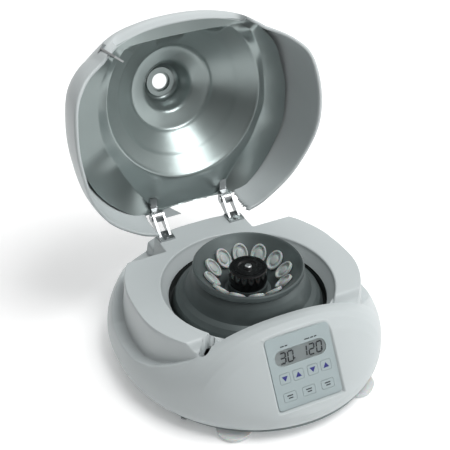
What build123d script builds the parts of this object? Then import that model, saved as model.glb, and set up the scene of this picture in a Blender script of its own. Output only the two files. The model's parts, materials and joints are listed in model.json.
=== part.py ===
"""Twelve-place mini centrifuge with a hinged dome lid, lid standing open.

The origin is on the rotor axis at the height of the bench top, +Z is up and the front
with the control panel faces -Y. All sizes are millimetres.
"""
from build123d import *
from math import cos, pi, sin
import os

os.makedirs("parts", exist_ok=True)

# Driving dimensions of the body
BODY_HALF_WIDTH = 113.0
BODY_FRONT = 119.0
BODY_REAR = 118.0
DECK_Z = 70.0
FOOT_HEIGHT = 5.0
PAN_THICK = 3.0
SPLIT_Z = FOOT_HEIGHT + PAN_THICK
WALL = 3.0
REAR_POWER = 2.5
FAR = 150.0
CROWN_R = 150.0
CROWN_Z = DECK_Z + 4.5
CROWN_RISE = 0.21
CROWN_REAR = -40.0
BOTTOM_ROUND = 14.0
BOTTOM_BEVEL = 8.0

# Shoulder of the base, as pairs of radius and height above the deck
SHOULDER = (
    (62.0, 11.0), (80.0, 4.0), (90.0, -6.0), (99.5, -15.0), (106.0, -25.0), (112.0, -38.0), (121.0, -62.0),
)

# Opening over the rotor
OPENING_R = 72.3
OPENING_DEPTH = 12.0
OPENING_FLOOR_R = 66.3
CHORD_Y = -54.3
CHORD_LIP_X = 34.0
CHORD_LIP_Z = DECK_Z + 2.5

# Deck and the step that the lid skirt closes over
DECK_HALF_WIDTH = 99.0
DECK_REAR = 101.0
DECK_FRONT = 74.0
DECK_ROLL_Y = -45.0
DECK_ROLL_SLOPE = 1.2
STEP_LINE = (
    (CHORD_Y, -12.5), (-41.0, -22.0), (-28.0, -29.0), (-10.0, -34.0), (15.0, -35.5),
    (40.0, -34.0), (62.0, -27.0), (98.0, -16.5), (117.0, -14.0), (135.0, -13.5),
)
RIM_GAP = 1.5

# Lid
HINGE_Y = 106.5
HINGE_Z = DECK_Z + 11.7
LID_OPEN_ANGLE = 101.3
LID_WALL = 2.6
LID_FRONT = 75.5
LID_DOME_Y = 8.0
LID_DOME = (
    (0.0, 60.0), (30.0, 58.7), (50.0, 54.9), (70.0, 47.5), (90.0, 34.5), (100.0, 24.0),
    (107.0, 11.0), (112.0, -5.0), (115.0, -22.0), (117.0, -42.0),
)
LID_NOSE = (
    (-65.0, 24.0), (-62.0, 34.0), (-56.0, 43.0), (-48.0, 49.0), (-38.0, 53.8), (-25.0, 57.6), (-5.0, 61.0),
)
LID_BODY_GAP = 1.0
EAR_INNER_X = 45.0
EAR_CUT_Z = DECK_Z + 23.0
SCALLOP_R = 38.0
SCALLOP_X = (43.0, 84.0)
SCALLOP_WALL = 2.5
LINING_SKIN = 0.6

# Window and liner, the bowl as pairs of radius and height with the lid closed
WINDOW_R = 9.0
WINDOW_FLANGE_R = 13.0
WINDOW_FLANGE_THICK = 1.4
WINDOW_PLUG = 2.8
WINDOW_FIT = 0.2
SEAL_THICK = 2.0
LINER_THICK = 2.0
LINER_BOWL = ((13.4, 53.0), (21.7, 37.3), (38.8, 29.0), (55.2, 14.6), (71.1, 1.8))
LINER_FRONT_Y = -51.0
LINER_RIM_R = 72.4
FLANGE_LINE = (
    (-70.0, 9.0), (-50.0, 8.0), (-30.0, 7.0), (-10.0, 7.0),
    (20.0, 8.5), (50.0, 11.0), (78.0, 15.5), (105.0, 20.0),
)
LINER_SIDE_GAP = 0.8

# Rotor and drive
SHAFT_R = 3.0
RUNNING_FIT = 0.05
NUT_BORE_R = SHAFT_R + RUNNING_FIT
ROTOR_HUB_R = 16.5
ROTOR_FOOT = -22.0
ROTOR_HUB_TOP = 0.8
DISH_FLOOR = -5.5
ROTOR_LINE = (
    (10.0, ROTOR_FOOT), (12.0, -14.0), (30.0, -14.0), (40.0, -25.0), (57.0, -25.0), (63.4, -19.0),
    (62.6, -14.5), (60.4, -9.6), (57.2, -6.0), (53.0, -3.4), (50.4, 2.6), (47.9, 8.2), (45.0, 13.0),
    (46.3, 14.8), (46.3, 18.4), (45.2, 19.5), (44.0, 19.0), (19.5, DISH_FLOOR),
)
NUT_GAP = 0.2
NUT_LINE = ((15.2, 0.0), (15.2, 3.0), (16.0, 3.6), (16.0, 14.6), (15.1, 15.5), (9.0, 15.5), (8.0, 14.3))
NUT_GROOVE = (12.0, 12.6, 0.5)
TUBE_COUNT = 12
TUBE_R = 5.2
TUBE_FIT = 0.1
TUBE_CAP_R = 6.3
TUBE_CAP_HEIGHT = 2.6
TUBE_LENGTH = 36.0
TUBE_STRAIGHT = 0.55 * TUBE_LENGTH
TUBE_TIP_R = 2.0
TUBE_TIP_ROOM = 0.6
TAB_SIZE = (6.0, 7.0)
CAP_WALL = 2.0
CAP_DISH = 0.9
TUBE_SEAT = (31.5, 6.5)
TUBE_LIFT = 0.8
CHAMBER_R = 66.8
CHAMBER_WALL = 1.6
CHAMBER_TOP = DECK_Z - OPENING_DEPTH - 2.0
CHAMBER_FLOOR = DECK_Z - 31.0
CHAMBER_FLANGE_R = 75.0
MOTOR_R = 22.0
MOTOR_BASE_Z = SPLIT_Z + 2.0
MOTOR_HEIGHT = 20.0
MOTOR_ROUND = 1.5
SHAFT_ROUND = 1.2
SHAFT_ROOM = 1.0
SHAFT_TOP = DECK_Z + 18.0
MOUNT_Z = MOTOR_BASE_Z + MOTOR_HEIGHT
MOUNT_THICK = 2.5
MOUNT_R = 42.0
DAMPER_R = 5.0
DAMPER_AT = 34.0
DAMPER_HEIGHT = 10.0
BEARING_R = 8.0
BEARING_WIDTH = 5.0

# Control panel, laid along the front slope
PANEL_TOP = (-79.5, DECK_Z + 6.0)
PANEL_BOTTOM = (-108.5, DECK_Z - 44.0)
PANEL_WIDTH = 57.0
PANEL_THICK = 1.6
PANEL_FIT = 0.2
PANEL_LEDGE = 3.0
PANEL_BACK = 2.4
LCD_SIZE = (46.0, 13.0)
LCD_UP = 11.5
KEY_TRAVEL = 0.5
KEY_GAP = 0.25
KEY_PROUD = 0.1
KEY_FLANGE = 1.2
KEY_FLANGE_THICK = 0.8
ARROW_KEY = (9.0, 8.0)
ARROW_KEY_UP = -4.5
ARROW_KEY_X = (-18.0, -6.0, 7.0, 19.0)
FUNCTION_KEY = (11.0, 7.0)
FUNCTION_KEY_UP = -19.5
FUNCTION_KEY_X = (-17.0, 0.0, 17.0)
BOARD_THICK = 1.6

# Latch
SLOT_INNER = (-57.5, -46.5)
SLOT_OUTER = (-71.0, -58.0)
SLOT_WIDTH = 8.0
HOOK_THICK = 1.6
HOOK_LENGTH = 9.0
HOOK_LOW = DECK_Z - 24.0
BOLT_R = 2.0
BOLT_HOLE_FIT = 1.0
BOLT_Z = DECK_Z - 18.5
BOLT_TIP = 3.2
BOLT_HEAD = (31.0, 33.0)
BOLT_HEAD_R = 3.6
LATCH_FRAME = (7.0, 24.0)
LATCH_FRAME_WIDTH = 14.0
LATCH_FRAME_HALF = 4.5
LATCH_POCKET_GAP = 0.4
SPRING_R = 2.8
SPRING_WIRE_R = 0.4

# Hinges
HINGE_X = 34.0
HINGE_PLATE = ((27.0, 41.0), (84.0, 97.0))
HINGE_PLATE_THICK = 2.0
HINGE_EYE_R = 5.0
HINGE_PIN_R = 2.0
HINGE_PIN_HEAD_R = 3.2
CHEEK_THICK = 2.0
CHEEK_INNER = 3.6
LEAF_HALF_WIDTH = 3.2
LEAF_END_Y = 90.0
HINGE_PIN_HEAD = 1.0
HINGE_SCREW_Y = (87.0, 93.0)
HINGE_SCREW_R = 2.2
HINGE_SCREW_HEAD = 1.2
COVER_LINE = ((-29.0, 105.0), (-18.0, 105.0), (-7.0, 114.0), (-29.0, 114.0))
COVER_Z = DECK_Z + 20.2
COVER_THICK = 1.6

# Rear connection panel
REAR_PANEL = (84.0, 32.0)
REAR_PANEL_Z = 29.0
REAR_PANEL_Y = 109.5
REAR_PANEL_THICK = 2.0
REAR_FRAME = 3.0
REAR_FRAME_BACK = 4.0
INLET_X = -18.0
INLET_SIZE = (27.0, 20.0)
INLET_DEPTH = 20.0
SWITCH_X = 22.0
SWITCH_OPENING = (14.0, 20.0)
SWITCH_TILT = 7.0

ROCKER_GAP = (1.2, 2.4)
ROCKER_THICK = 7.0
ROCKER_BACK = 4.0
ROCKER_STEM = (4.0, 2.0)
ROCKER_PIVOT_R = 1.5
ROCKER_PIVOT_REACH = 0.4
SWITCH_FRAME = 4.0
SWITCH_DEPTH = 12.0
SWITCH_BACK = 2.0
INLET_FIT = 0.2
INLET_FLANGE = 3.0
INLET_FLANGE_THICK = 1.5
INLET_SOCKET = (24.6, 16.8)
INLET_PIN = (2.0, 4.0)
INLET_PINS = ((-7.0, -2.0), (0.0, 2.0), (7.0, -2.0))

# Power board, its tall parts as place, width, depth and height
POWER_BOARD = (76.0, 34.0)
POWER_BOARD_Y = 72.0
STANDOFF_HEIGHT = 4.0
STANDOFF_R = 2.5
POWER_PARTS = ((-24.0, 70.0, 20.0, 18.0, 16.0), (4.0, 74.0, 12.0, 12.0, 18.0), (24.0, 66.0, 14.0, 10.0, 10.0))

# Posts and fasteners
SCREW_POSTS = ((-97.5, 44.0), (97.5, 44.0), (-87.5, -58.0), (87.5, -58.0))
SCREW_POST_R = 5.0
SCREW_POST_TOPS = (34.5, 34.5, 28.0, 28.0)
SCREW_R = 1.5
SCREW_HEAD_R = 3.0
SCREW_HEAD_HEIGHT = 1.6
SCREW_LENGTH = 12.0
CHAMBER_POST_R = 4.0
CHAMBER_POST_AT = 72.5
CHAMBER_POST_ANGLES = (20.0, 160.0, 250.0, 290.0)
FOOT_R = 15.0
FEET = ((-57.0, -86.0), (57.0, -86.0), (-66.0, 78.0), (66.0, 78.0))

panel_run = Vector(0, PANEL_TOP[0] - PANEL_BOTTOM[0], PANEL_TOP[1] - PANEL_BOTTOM[1])
panel_normal = Vector(1, 0, 0).cross(panel_run.normalized())
panel_middle = Vector(0, (PANEL_TOP[0] + PANEL_BOTTOM[0]) / 2, (PANEL_TOP[1] + PANEL_BOTTOM[1]) / 2)
PANEL_LENGTH = panel_run.length


def panel_plane(height=0.0):
    """Plane of the front slope raised along its outward normal, local y up the slope."""
    return Plane(origin=panel_middle + panel_normal * height, x_dir=(1, 0, 0), z_dir=panel_normal)


def block(x_range, y_range, z_range):
    """Box between pairs of limits."""
    centre = [(low + high) / 2 for low, high in (x_range, y_range, z_range)]
    size = [high - low for low, high in (x_range, y_range, z_range)]
    with BuildPart() as box:
        with Locations(tuple(centre)):
            Box(*size)
    return box.part


def outline(plane, half_width, front, rear):
    """Plan outline: half an ellipse in front, a squarer curve behind."""
    points = []
    for step in range(9):
        angle = pi * step / 8
        across = abs(cos(angle)) ** (2 / REAR_POWER) * (1 if step < 4 else -1)
        if step == 4:
            across = 0.0
        points.append((half_width * across, rear * sin(angle) ** (2 / REAR_POWER)))
    with BuildSketch(plane) as sketch:
        with BuildLine():
            Spline(*points, tangents=[(0, 1), (0, -1)])
            EllipticalCenterArc((0, 0), half_width, front, start_angle=180, arc_size=180)
        make_face()
    return sketch


def outline_block(low, high, half_width, front, rear):
    """Upright block on a plan outline."""
    with BuildPart() as block:
        shape = outline(Plane.XY.offset(low), half_width, front, rear)
        add(shape.sketch)
        extrude(amount=high - low)
    return block.part


def turned(points, base):
    """Solid turned about the rotor axis under a curve of radius and height pairs."""
    with BuildPart() as solid:
        with BuildSketch(Plane.XZ):
            with BuildLine():
                curve = Spline(*points)
                corners = [(points[-1][0], base), (0, base)]
                if points[0][0] > 0:
                    corners.append((0, points[0][1]))
                Polyline(curve @ 1, *corners, curve @ 0)
            make_face()
        revolve(axis=Axis.Z)
    return solid.part


def above_crown(inset):
    """Room above the front crown, whose arch climbs a little towards the front."""
    with BuildPart() as room:
        add(block((-FAR, FAR), (-FAR, CROWN_REAR), (20, FAR)))
        axis = Plane(origin=(0, CHORD_Y, CROWN_Z), x_dir=(1, 0, 0), z_dir=(0, -1, CROWN_RISE))
        with BuildSketch(axis):
            with Locations((0, -CROWN_R)):
                Circle(CROWN_R - inset)
        extrude(amount=FAR, both=True, mode=Mode.SUBTRACT)
    return room.part


def body_hull(inset=0.0):
    """Base body under the front crown, before the step is cut."""
    shoulder = [(r - 0.7 * inset, DECK_Z + z - 0.7 * inset) for r, z in SHOULDER]
    with BuildPart() as hull:
        add(outline_block(FOOT_HEIGHT, 100, BODY_HALF_WIDTH - inset, BODY_FRONT - inset, BODY_REAR - inset))
        foot_edges = hull.edges().group_by(Axis.Z)[0]
        if inset:
            chamfer(foot_edges, length=BOTTOM_BEVEL)
        else:
            fillet(foot_edges, radius=BOTTOM_ROUND)
        add(turned(shoulder, -20), mode=Mode.INTERSECT)
        add(above_crown(inset), mode=Mode.SUBTRACT)
        with BuildSketch(panel_plane(-inset)):
            Rectangle(300, 300)
        extrude(amount=80, mode=Mode.SUBTRACT)
    return hull.part


def deck_pedestal(inset=0.0):
    """Raised deck, rolled down at its front corners."""
    reach = DECK_FRONT + 10
    with BuildPart() as pedestal:
        width = DECK_HALF_WIDTH - inset
        add(outline_block(DECK_Z - 40, DECK_Z - inset, width, DECK_FRONT - inset, DECK_REAR - inset))
        with BuildSketch(Plane.YZ):
            with BuildLine():
                Polyline(
                    (-reach, DECK_Z - inset - DECK_ROLL_SLOPE * (DECK_ROLL_Y + reach)),
                    (DECK_ROLL_Y, DECK_Z - inset),
                    (-reach, DECK_Z + 10),
                    close=True,
                )
            make_face()
        extrude(amount=BODY_HALF_WIDTH + 10, both=True, mode=Mode.SUBTRACT)
    return pedestal.part


def above_step(lift=0.0, front=CHORD_Y):
    """Room above the step line, from the given front edge to the rear."""
    points = [(y, DECK_Z + z + lift) for y, z in STEP_LINE]
    top = DECK_Z + 90
    with BuildPart() as room:
        with BuildSketch(Plane.YZ):
            with BuildLine():
                curve = Spline(*points)
                edge = front - 0.01
                Polyline(curve @ 1, (points[-1][0], top), (edge, top), (edge, points[0][1]), curve @ 0)
            make_face()
        extrude(amount=BODY_HALF_WIDTH + 20, both=True)
    return room.part


def housing_hull(inset=0.0):
    """Form of the upper housing before it is hollowed."""
    with BuildPart() as hull:
        add(body_hull(inset))
        add(above_step(-inset, CHORD_Y - inset), mode=Mode.SUBTRACT)
        add(deck_pedestal(inset))
    return hull.part


def save(name, part):
    """Label a finished piece and write it."""
    part.label = name
    export_step(part, f"parts/{name}.step")
    print(name, len(part.solids()), round(part.volume), flush=True)


def opening_plug(grow=0.0, top=DECK_Z + 30):
    """Tapered plug of the rotor opening, cut flat along the chord."""
    with BuildPart() as plug:
        with BuildSketch(Plane.XZ):
            with BuildLine():
                Polyline(
                    (0, DECK_Z - OPENING_DEPTH),
                    (OPENING_FLOOR_R + grow, DECK_Z - OPENING_DEPTH),
                    (OPENING_R + grow, DECK_Z - 2),
                    (OPENING_R + grow, top),
                    (0, top),
                    close=True,
                )
            make_face()
        revolve(axis=Axis.Z)
        add(block((-FAR, FAR), (-FAR, CHORD_Y - grow), (0, FAR)), mode=Mode.SUBTRACT)
    return plug.part


slot_vector = Vector(SLOT_OUTER[0] - SLOT_INNER[0], SLOT_OUTER[1] - SLOT_INNER[1], 0)
slot_middle = Vector((SLOT_OUTER[0] + SLOT_INNER[0]) / 2, (SLOT_OUTER[1] + SLOT_INNER[1]) / 2, 0)
slot_along = slot_vector.normalized()
slot_across = Vector(0, 0, 1).cross(slot_along)


def slot_plane(z):
    """Level plane on the latch slot, local x running outwards along the slot."""
    return Plane(origin=slot_middle + Vector(0, 0, z), x_dir=slot_along, z_dir=(0, 0, 1))


def latch_plane(z):
    """Level plane on the latch slot, local x running along the bolt away from the hook."""
    return Plane(origin=slot_middle + Vector(0, 0, z), x_dir=slot_across, z_dir=(0, 0, 1))


def bolt_plane(distance):
    """Plane square to the bolt at a distance from the hook."""
    return Plane(
        origin=slot_middle + slot_across * distance + Vector(0, 0, BOLT_Z),
        x_dir=slot_along,
        z_dir=slot_across,
    )


def rear_plane(y):
    """Upright plane across the rear, facing outwards."""
    return Plane(origin=(0, y, 0), x_dir=(-1, 0, 0), z_dir=(0, 1, 0))


def scallop(side, grow=0.0):
    """Round pocket in a rear corner of the deck that the lid ear swings through."""
    with BuildPart() as pocket:
        with BuildSketch(Plane.YZ.offset(side * (SCALLOP_X[0] - grow))):
            with Locations((HINGE_Y, HINGE_Z)):
                Circle(SCALLOP_R + grow)
        extrude(amount=side * (SCALLOP_X[1] - SCALLOP_X[0] + 2 * grow))
    return pocket.part


with BuildPart() as linings:
    with BuildSketch(Plane.XY.offset(DECK_Z - OPENING_DEPTH)):
        Circle(OPENING_FLOOR_R + WALL)
        Circle(OPENING_FLOOR_R, mode=Mode.SUBTRACT)
    extrude(amount=40)
    add(block((-FAR, FAR), (CHORD_Y + 4, FAR), (0, FAR)), mode=Mode.SUBTRACT)
    add(scallop(-1, SCALLOP_WALL))
    add(scallop(1, SCALLOP_WALL))
    add(housing_hull(LINING_SKIN), mode=Mode.INTERSECT)

# Upper housing
with BuildPart() as upper_housing:
    add(housing_hull())
    add(housing_hull(WALL), mode=Mode.SUBTRACT)
    add(linings.part)
    add(opening_plug(WALL, DECK_Z - 1))
    add(block((-CHORD_LIP_X, CHORD_LIP_X), (CHORD_Y - WALL, CHORD_Y), (DECK_Z - 6, CHORD_LIP_Z)))
    for (x, y), top in zip(SCREW_POSTS, SCREW_POST_TOPS):
        with BuildSketch(Plane.XY.offset(SPLIT_Z)):
            with Locations((x, y)):
                Circle(SCREW_POST_R)
        extrude(amount=top - SPLIT_Z)
    with BuildSketch(panel_plane(-PANEL_THICK)):
        Rectangle(PANEL_WIDTH + 4, PANEL_LENGTH - 2)
    extrude(amount=-PANEL_BACK)
    frame_x = REAR_PANEL[0] / 2 + REAR_FRAME
    frame_z = REAR_PANEL[1] / 2 + REAR_FRAME
    frame_y = (REAR_PANEL_Y - REAR_FRAME_BACK, REAR_PANEL_Y + 1)
    add(block((-frame_x, frame_x), frame_y, (REAR_PANEL_Z - frame_z, REAR_PANEL_Z + frame_z)))
    add(block((-FAR, FAR), (-FAR, FAR), (-20, SPLIT_Z)), mode=Mode.SUBTRACT)
    add(opening_plug(), mode=Mode.SUBTRACT)
    with BuildSketch(Plane.XY.offset(DECK_Z - OPENING_DEPTH - 10)):
        Circle(OPENING_FLOOR_R)
    extrude(amount=OPENING_DEPTH + 10 - WALL, mode=Mode.SUBTRACT)
    with BuildSketch(Plane.XY.offset(DECK_Z - OPENING_DEPTH - 10)):
        Circle(CHAMBER_FLANGE_R + 1)
    extrude(amount=10, mode=Mode.SUBTRACT)
    with BuildSketch(bolt_plane(LATCH_FRAME[0] - LATCH_POCKET_GAP)):
        Rectangle(LATCH_FRAME_WIDTH + 2 * LATCH_POCKET_GAP, 2 * (LATCH_FRAME_HALF + LATCH_POCKET_GAP))
    extrude(amount=LATCH_FRAME[1] - LATCH_FRAME[0] + 2 * LATCH_POCKET_GAP, mode=Mode.SUBTRACT)
    with BuildSketch(panel_plane(-PANEL_THICK)):
        Rectangle(PANEL_WIDTH + 2 * PANEL_FIT, PANEL_LENGTH + 2 * PANEL_FIT)
    extrude(amount=20, mode=Mode.SUBTRACT)
    with BuildSketch(panel_plane(-PANEL_THICK + 1)):
        Rectangle(PANEL_WIDTH - 2 * PANEL_LEDGE, PANEL_LENGTH - 2 * PANEL_LEDGE)
    extrude(amount=-12, mode=Mode.SUBTRACT)
    with BuildSketch(slot_plane(DECK_Z + 20)):
        SlotOverall(slot_vector.length + 2, SLOT_WIDTH)
    extrude(amount=-45, mode=Mode.SUBTRACT)
    with BuildSketch(rear_plane(REAR_PANEL_Y)):
        with Locations((0, REAR_PANEL_Z)):
            Rectangle(REAR_PANEL[0] + 2 * PANEL_FIT, REAR_PANEL[1] + 2 * PANEL_FIT)
    extrude(amount=20, mode=Mode.SUBTRACT)
    with BuildSketch(rear_plane(REAR_PANEL_Y - 20)):
        with Locations((0, REAR_PANEL_Z)):
            Rectangle(REAR_PANEL[0] - 6, REAR_PANEL[1] - 6)
    extrude(amount=30, mode=Mode.SUBTRACT)
    for side in (-1, 1):
        add(scallop(side), mode=Mode.SUBTRACT)
    for x, y in SCREW_POSTS:
        with BuildSketch(Plane.XY.offset(SPLIT_Z)):
            with Locations((x, y)):
                Circle(SCREW_R)
        extrude(amount=SCREW_LENGTH, mode=Mode.SUBTRACT)
save("upper_housing", upper_housing.part)

# Base pan with the posts that carry the chamber and the motor plate
with BuildPart() as base_pan:
    add(body_hull())
    add(block((-FAR, FAR), (-FAR, FAR), (SPLIT_Z, FAR)), mode=Mode.SUBTRACT)
    with BuildSketch(Plane.XY.offset(SPLIT_Z)):
        for angle in CHAMBER_POST_ANGLES:
            with PolarLocations(CHAMBER_POST_AT, 1, angle):
                Circle(CHAMBER_POST_R)
    extrude(amount=CHAMBER_TOP - CHAMBER_WALL - SPLIT_Z)
    with BuildSketch(Plane.XY.offset(SPLIT_Z)):
        with PolarLocations(DAMPER_AT, 3, 90):
            Circle(DAMPER_R + 1.5)
    extrude(amount=MOUNT_Z - DAMPER_HEIGHT - SPLIT_Z)
    for x, y in SCREW_POSTS:
        with BuildSketch(Plane.XY.offset(FOOT_HEIGHT)):
            with Locations((x, y)):
                Circle(SCREW_R + 0.3)
        extrude(amount=PAN_THICK, mode=Mode.SUBTRACT)
    with BuildSketch(latch_plane(SPLIT_Z)):
        with Locations(((LATCH_FRAME[0] + LATCH_FRAME[1]) / 2, 0)):
            Rectangle(LATCH_FRAME[1] - LATCH_FRAME[0] - 4, LATCH_FRAME_WIDTH - 4)
    extrude(amount=BOLT_Z - LATCH_FRAME_HALF - SPLIT_Z)
save("base_pan", base_pan.part)

# Rubber feet, the front pair reaching past the pan
with BuildPart() as rubber_feet:
    for x, y in FEET:
        with BuildSketch(Plane.XY):
            with Locations((x, y)):
                Circle(FOOT_R - 1.5)
        with BuildSketch(Plane.XY.offset(FOOT_HEIGHT)):
            with Locations((x, y)):
                Circle(FOOT_R)
        loft()
save("rubber_feet", rubber_feet.part)

# Screws that hold the pan to the housing
with BuildPart() as pan_screws:
    for x, y in SCREW_POSTS:
        with BuildSketch(Plane.XY.offset(FOOT_HEIGHT - SCREW_HEAD_HEIGHT)):
            with Locations((x, y)):
                Circle(SCREW_HEAD_R)
        extrude(amount=SCREW_HEAD_HEIGHT)
        with BuildSketch(Plane.XY.offset(FOOT_HEIGHT)):
            with Locations((x, y)):
                Circle(SCREW_R)
        extrude(amount=SCREW_LENGTH)
save("pan_screws", pan_screws.part)

# Rotor chamber, a bowl with a flange on the posts
with BuildPart() as rotor_chamber:
    with BuildSketch(Plane.XZ):
        with BuildLine():
            Polyline(
                (BEARING_R + 4, CHAMBER_FLOOR),
                (CHAMBER_R - 8, CHAMBER_FLOOR),
                (CHAMBER_R, CHAMBER_FLOOR + 8),
                (CHAMBER_R, CHAMBER_TOP),
                (CHAMBER_FLANGE_R, CHAMBER_TOP),
                (CHAMBER_FLANGE_R, CHAMBER_TOP - CHAMBER_WALL),
                (CHAMBER_R + CHAMBER_WALL, CHAMBER_TOP - CHAMBER_WALL),
                (CHAMBER_R + CHAMBER_WALL, CHAMBER_FLOOR + 7),
                (CHAMBER_R - 7.5, CHAMBER_FLOOR - CHAMBER_WALL),
                (BEARING_R + 4, CHAMBER_FLOOR - CHAMBER_WALL),
                close=True,
            )
        make_face()
    revolve(axis=Axis.Z)
save("rotor_chamber", rotor_chamber.part)

# Gasket between the chamber flange and the collar of the opening
with BuildPart() as chamber_gasket:
    with BuildSketch(Plane.XY.offset(CHAMBER_TOP)):
        Circle(OPENING_FLOOR_R + 3.5)
        Circle(OPENING_FLOOR_R + 0.6, mode=Mode.SUBTRACT)
    extrude(amount=DECK_Z - OPENING_DEPTH - CHAMBER_TOP)
save("chamber_gasket", chamber_gasket.part)

# Motor plate on its three dampers
with BuildPart() as motor_plate:
    with BuildSketch(Plane.XY.offset(MOUNT_Z)):
        Circle(MOUNT_R)
        Circle(BEARING_R + 3, mode=Mode.SUBTRACT)
    extrude(amount=MOUNT_THICK)
save("motor_plate", motor_plate.part)

with BuildPart() as vibration_dampers:
    with BuildSketch(Plane.XY.offset(MOUNT_Z - DAMPER_HEIGHT)):
        with PolarLocations(DAMPER_AT, 3, 90):
            Circle(DAMPER_R)
    extrude(amount=DAMPER_HEIGHT)
save("vibration_dampers", vibration_dampers.part)

# Motor can with its two bearings, and the shaft
with BuildPart() as motor_can:
    with BuildSketch(Plane.XY.offset(MOTOR_BASE_Z)):
        Circle(MOTOR_R)
    extrude(amount=MOTOR_HEIGHT)
    with BuildSketch(Plane.XY.offset(MOTOR_BASE_Z)):
        Circle(BEARING_R)
    extrude(amount=BEARING_WIDTH, mode=Mode.SUBTRACT)
    with BuildSketch(Plane.XY.offset(MOUNT_Z - BEARING_WIDTH)):
        Circle(BEARING_R)
    extrude(amount=BEARING_WIDTH, mode=Mode.SUBTRACT)
    with BuildSketch(Plane.XY.offset(MOTOR_BASE_Z)):
        Circle(SHAFT_R + SHAFT_ROOM)
    extrude(amount=MOTOR_HEIGHT, mode=Mode.SUBTRACT)
    fillet(motor_can.edges().filter_by(GeomType.CIRCLE).group_by(SortBy.RADIUS)[-1], radius=MOTOR_ROUND)
save("motor_can", motor_can.part)

for name, low in (("lower_bearing", MOTOR_BASE_Z), ("upper_bearing", MOUNT_Z - BEARING_WIDTH)):
    with BuildPart() as bearing:
        with BuildSketch(Plane.XY.offset(low)):
            Circle(BEARING_R)
            Circle(SHAFT_R + RUNNING_FIT, mode=Mode.SUBTRACT)
        extrude(amount=BEARING_WIDTH)
    save(name, bearing.part)

with BuildPart() as motor_shaft:
    with BuildSketch(Plane.XY.offset(MOTOR_BASE_Z)):
        Circle(SHAFT_R)
    extrude(amount=SHAFT_TOP - MOTOR_BASE_Z)
    fillet(motor_shaft.edges().sort_by(Axis.Z)[-1], radius=SHAFT_ROUND)
save("motor_shaft", motor_shaft.part)

# Dust boot between motor plate and chamber floor
with BuildPart() as dust_boot:
    low = MOUNT_Z + MOUNT_THICK
    high = CHAMBER_FLOOR - CHAMBER_WALL
    with BuildSketch(Plane.XZ):
        with BuildLine():
            Polyline(
                (BEARING_R + 5, low),
                (BEARING_R + 8, low),
                (BEARING_R + 6, (low + high) / 2),
                (BEARING_R + 8, high),
                (BEARING_R + 5, high),
                (BEARING_R + 3, (low + high) / 2),
                close=True,
            )
        make_face()
    revolve(axis=Axis.Z)
save("dust_boot", dust_boot.part)

# Rotor with its dished face and twelve inclined bores
seat_r, seat_z = TUBE_SEAT


def tube_plane(index, slide=0.0):
    """Plane on the mouth of a bore, its normal pointing up and inwards."""
    angle = 2 * pi * (index + 0.5) / TUBE_COUNT
    outward = Vector(cos(angle), sin(angle), 0)
    normal = (Vector(0, 0, 1) - outward).normalized()
    origin = outward * seat_r + Vector(0, 0, DECK_Z + seat_z) + normal * slide
    return Plane(origin=origin, x_dir=(outward + Vector(0, 0, 1)).normalized(), z_dir=normal)


with BuildPart() as rotor:
    with BuildSketch(Plane.XZ):
        with BuildLine():
            Polyline(
                (SHAFT_R, DECK_Z + ROTOR_FOOT),
                *[(r, DECK_Z + z) for r, z in ROTOR_LINE],
                (ROTOR_HUB_R, DECK_Z + DISH_FLOOR),
                (ROTOR_HUB_R, DECK_Z + ROTOR_HUB_TOP),
                (SHAFT_R, DECK_Z + ROTOR_HUB_TOP),
                close=True,
            )
        make_face()
    revolve(axis=Axis.Z)
    for index in range(TUBE_COUNT):
        with BuildSketch(tube_plane(index, 6)):
            Circle(TUBE_R + TUBE_FIT)
        extrude(amount=-6 - TUBE_STRAIGHT, mode=Mode.SUBTRACT)
        with BuildSketch(tube_plane(index, -TUBE_STRAIGHT)):
            Circle(TUBE_R + TUBE_FIT)
        with BuildSketch(tube_plane(index, -TUBE_LENGTH - TUBE_TIP_ROOM)):
            Circle(TUBE_TIP_R + 2 * TUBE_FIT)
        loft(mode=Mode.SUBTRACT)
save("rotor", rotor.part)

with BuildPart() as rotor_nut:
    low = DECK_Z + ROTOR_HUB_TOP + NUT_GAP
    with BuildSketch(Plane.XZ):
        with BuildLine():
            Polyline(
                (NUT_BORE_R, low),
                *[(r, low + z) for r, z in NUT_LINE],
                (NUT_BORE_R, low + NUT_LINE[-1][1]),
                close=True,
            )
        make_face()
    revolve(axis=Axis.Z)
    with BuildSketch(Plane.XY.offset(low + NUT_LINE[-2][1])):
        Circle(NUT_GROOVE[1])
        Circle(NUT_GROOVE[0], mode=Mode.SUBTRACT)
    extrude(amount=-NUT_GROOVE[2], mode=Mode.SUBTRACT)
save("rotor_nut", rotor_nut.part)

# Twelve capped sample tubes
for index in range(TUBE_COUNT):
    with BuildPart() as tube:
        with BuildSketch(tube_plane(index, TUBE_LIFT)):
            Circle(TUBE_R)
        extrude(amount=-TUBE_STRAIGHT)
        with BuildSketch(tube_plane(index, TUBE_LIFT - TUBE_STRAIGHT)):
            Circle(TUBE_R)
        with BuildSketch(tube_plane(index, TUBE_LIFT - TUBE_LENGTH)):
            Circle(TUBE_TIP_R)
        loft()
        with BuildSketch(tube_plane(index, TUBE_LIFT)):
            Circle(TUBE_CAP_R)
            with Locations((TUBE_CAP_R, 0)):
                RectangleRounded(TAB_SIZE[0], TAB_SIZE[1], 1.5)
        extrude(amount=TUBE_CAP_HEIGHT)
        with BuildSketch(tube_plane(index, TUBE_LIFT + TUBE_CAP_HEIGHT)):
            Circle(TUBE_CAP_R - CAP_WALL)
        extrude(amount=-CAP_DISH, mode=Mode.SUBTRACT)
    save(f"tube_{index + 1:02d}", tube.part)

# Control panel with its display window and keys
keys = []
for x in ARROW_KEY_X:
    keys.append((f"arrow_key_{len(keys) + 1}", x, ARROW_KEY_UP, ARROW_KEY))
for number, x in enumerate(FUNCTION_KEY_X, start=1):
    keys.append((f"function_key_{number}", x, FUNCTION_KEY_UP, FUNCTION_KEY))

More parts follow.
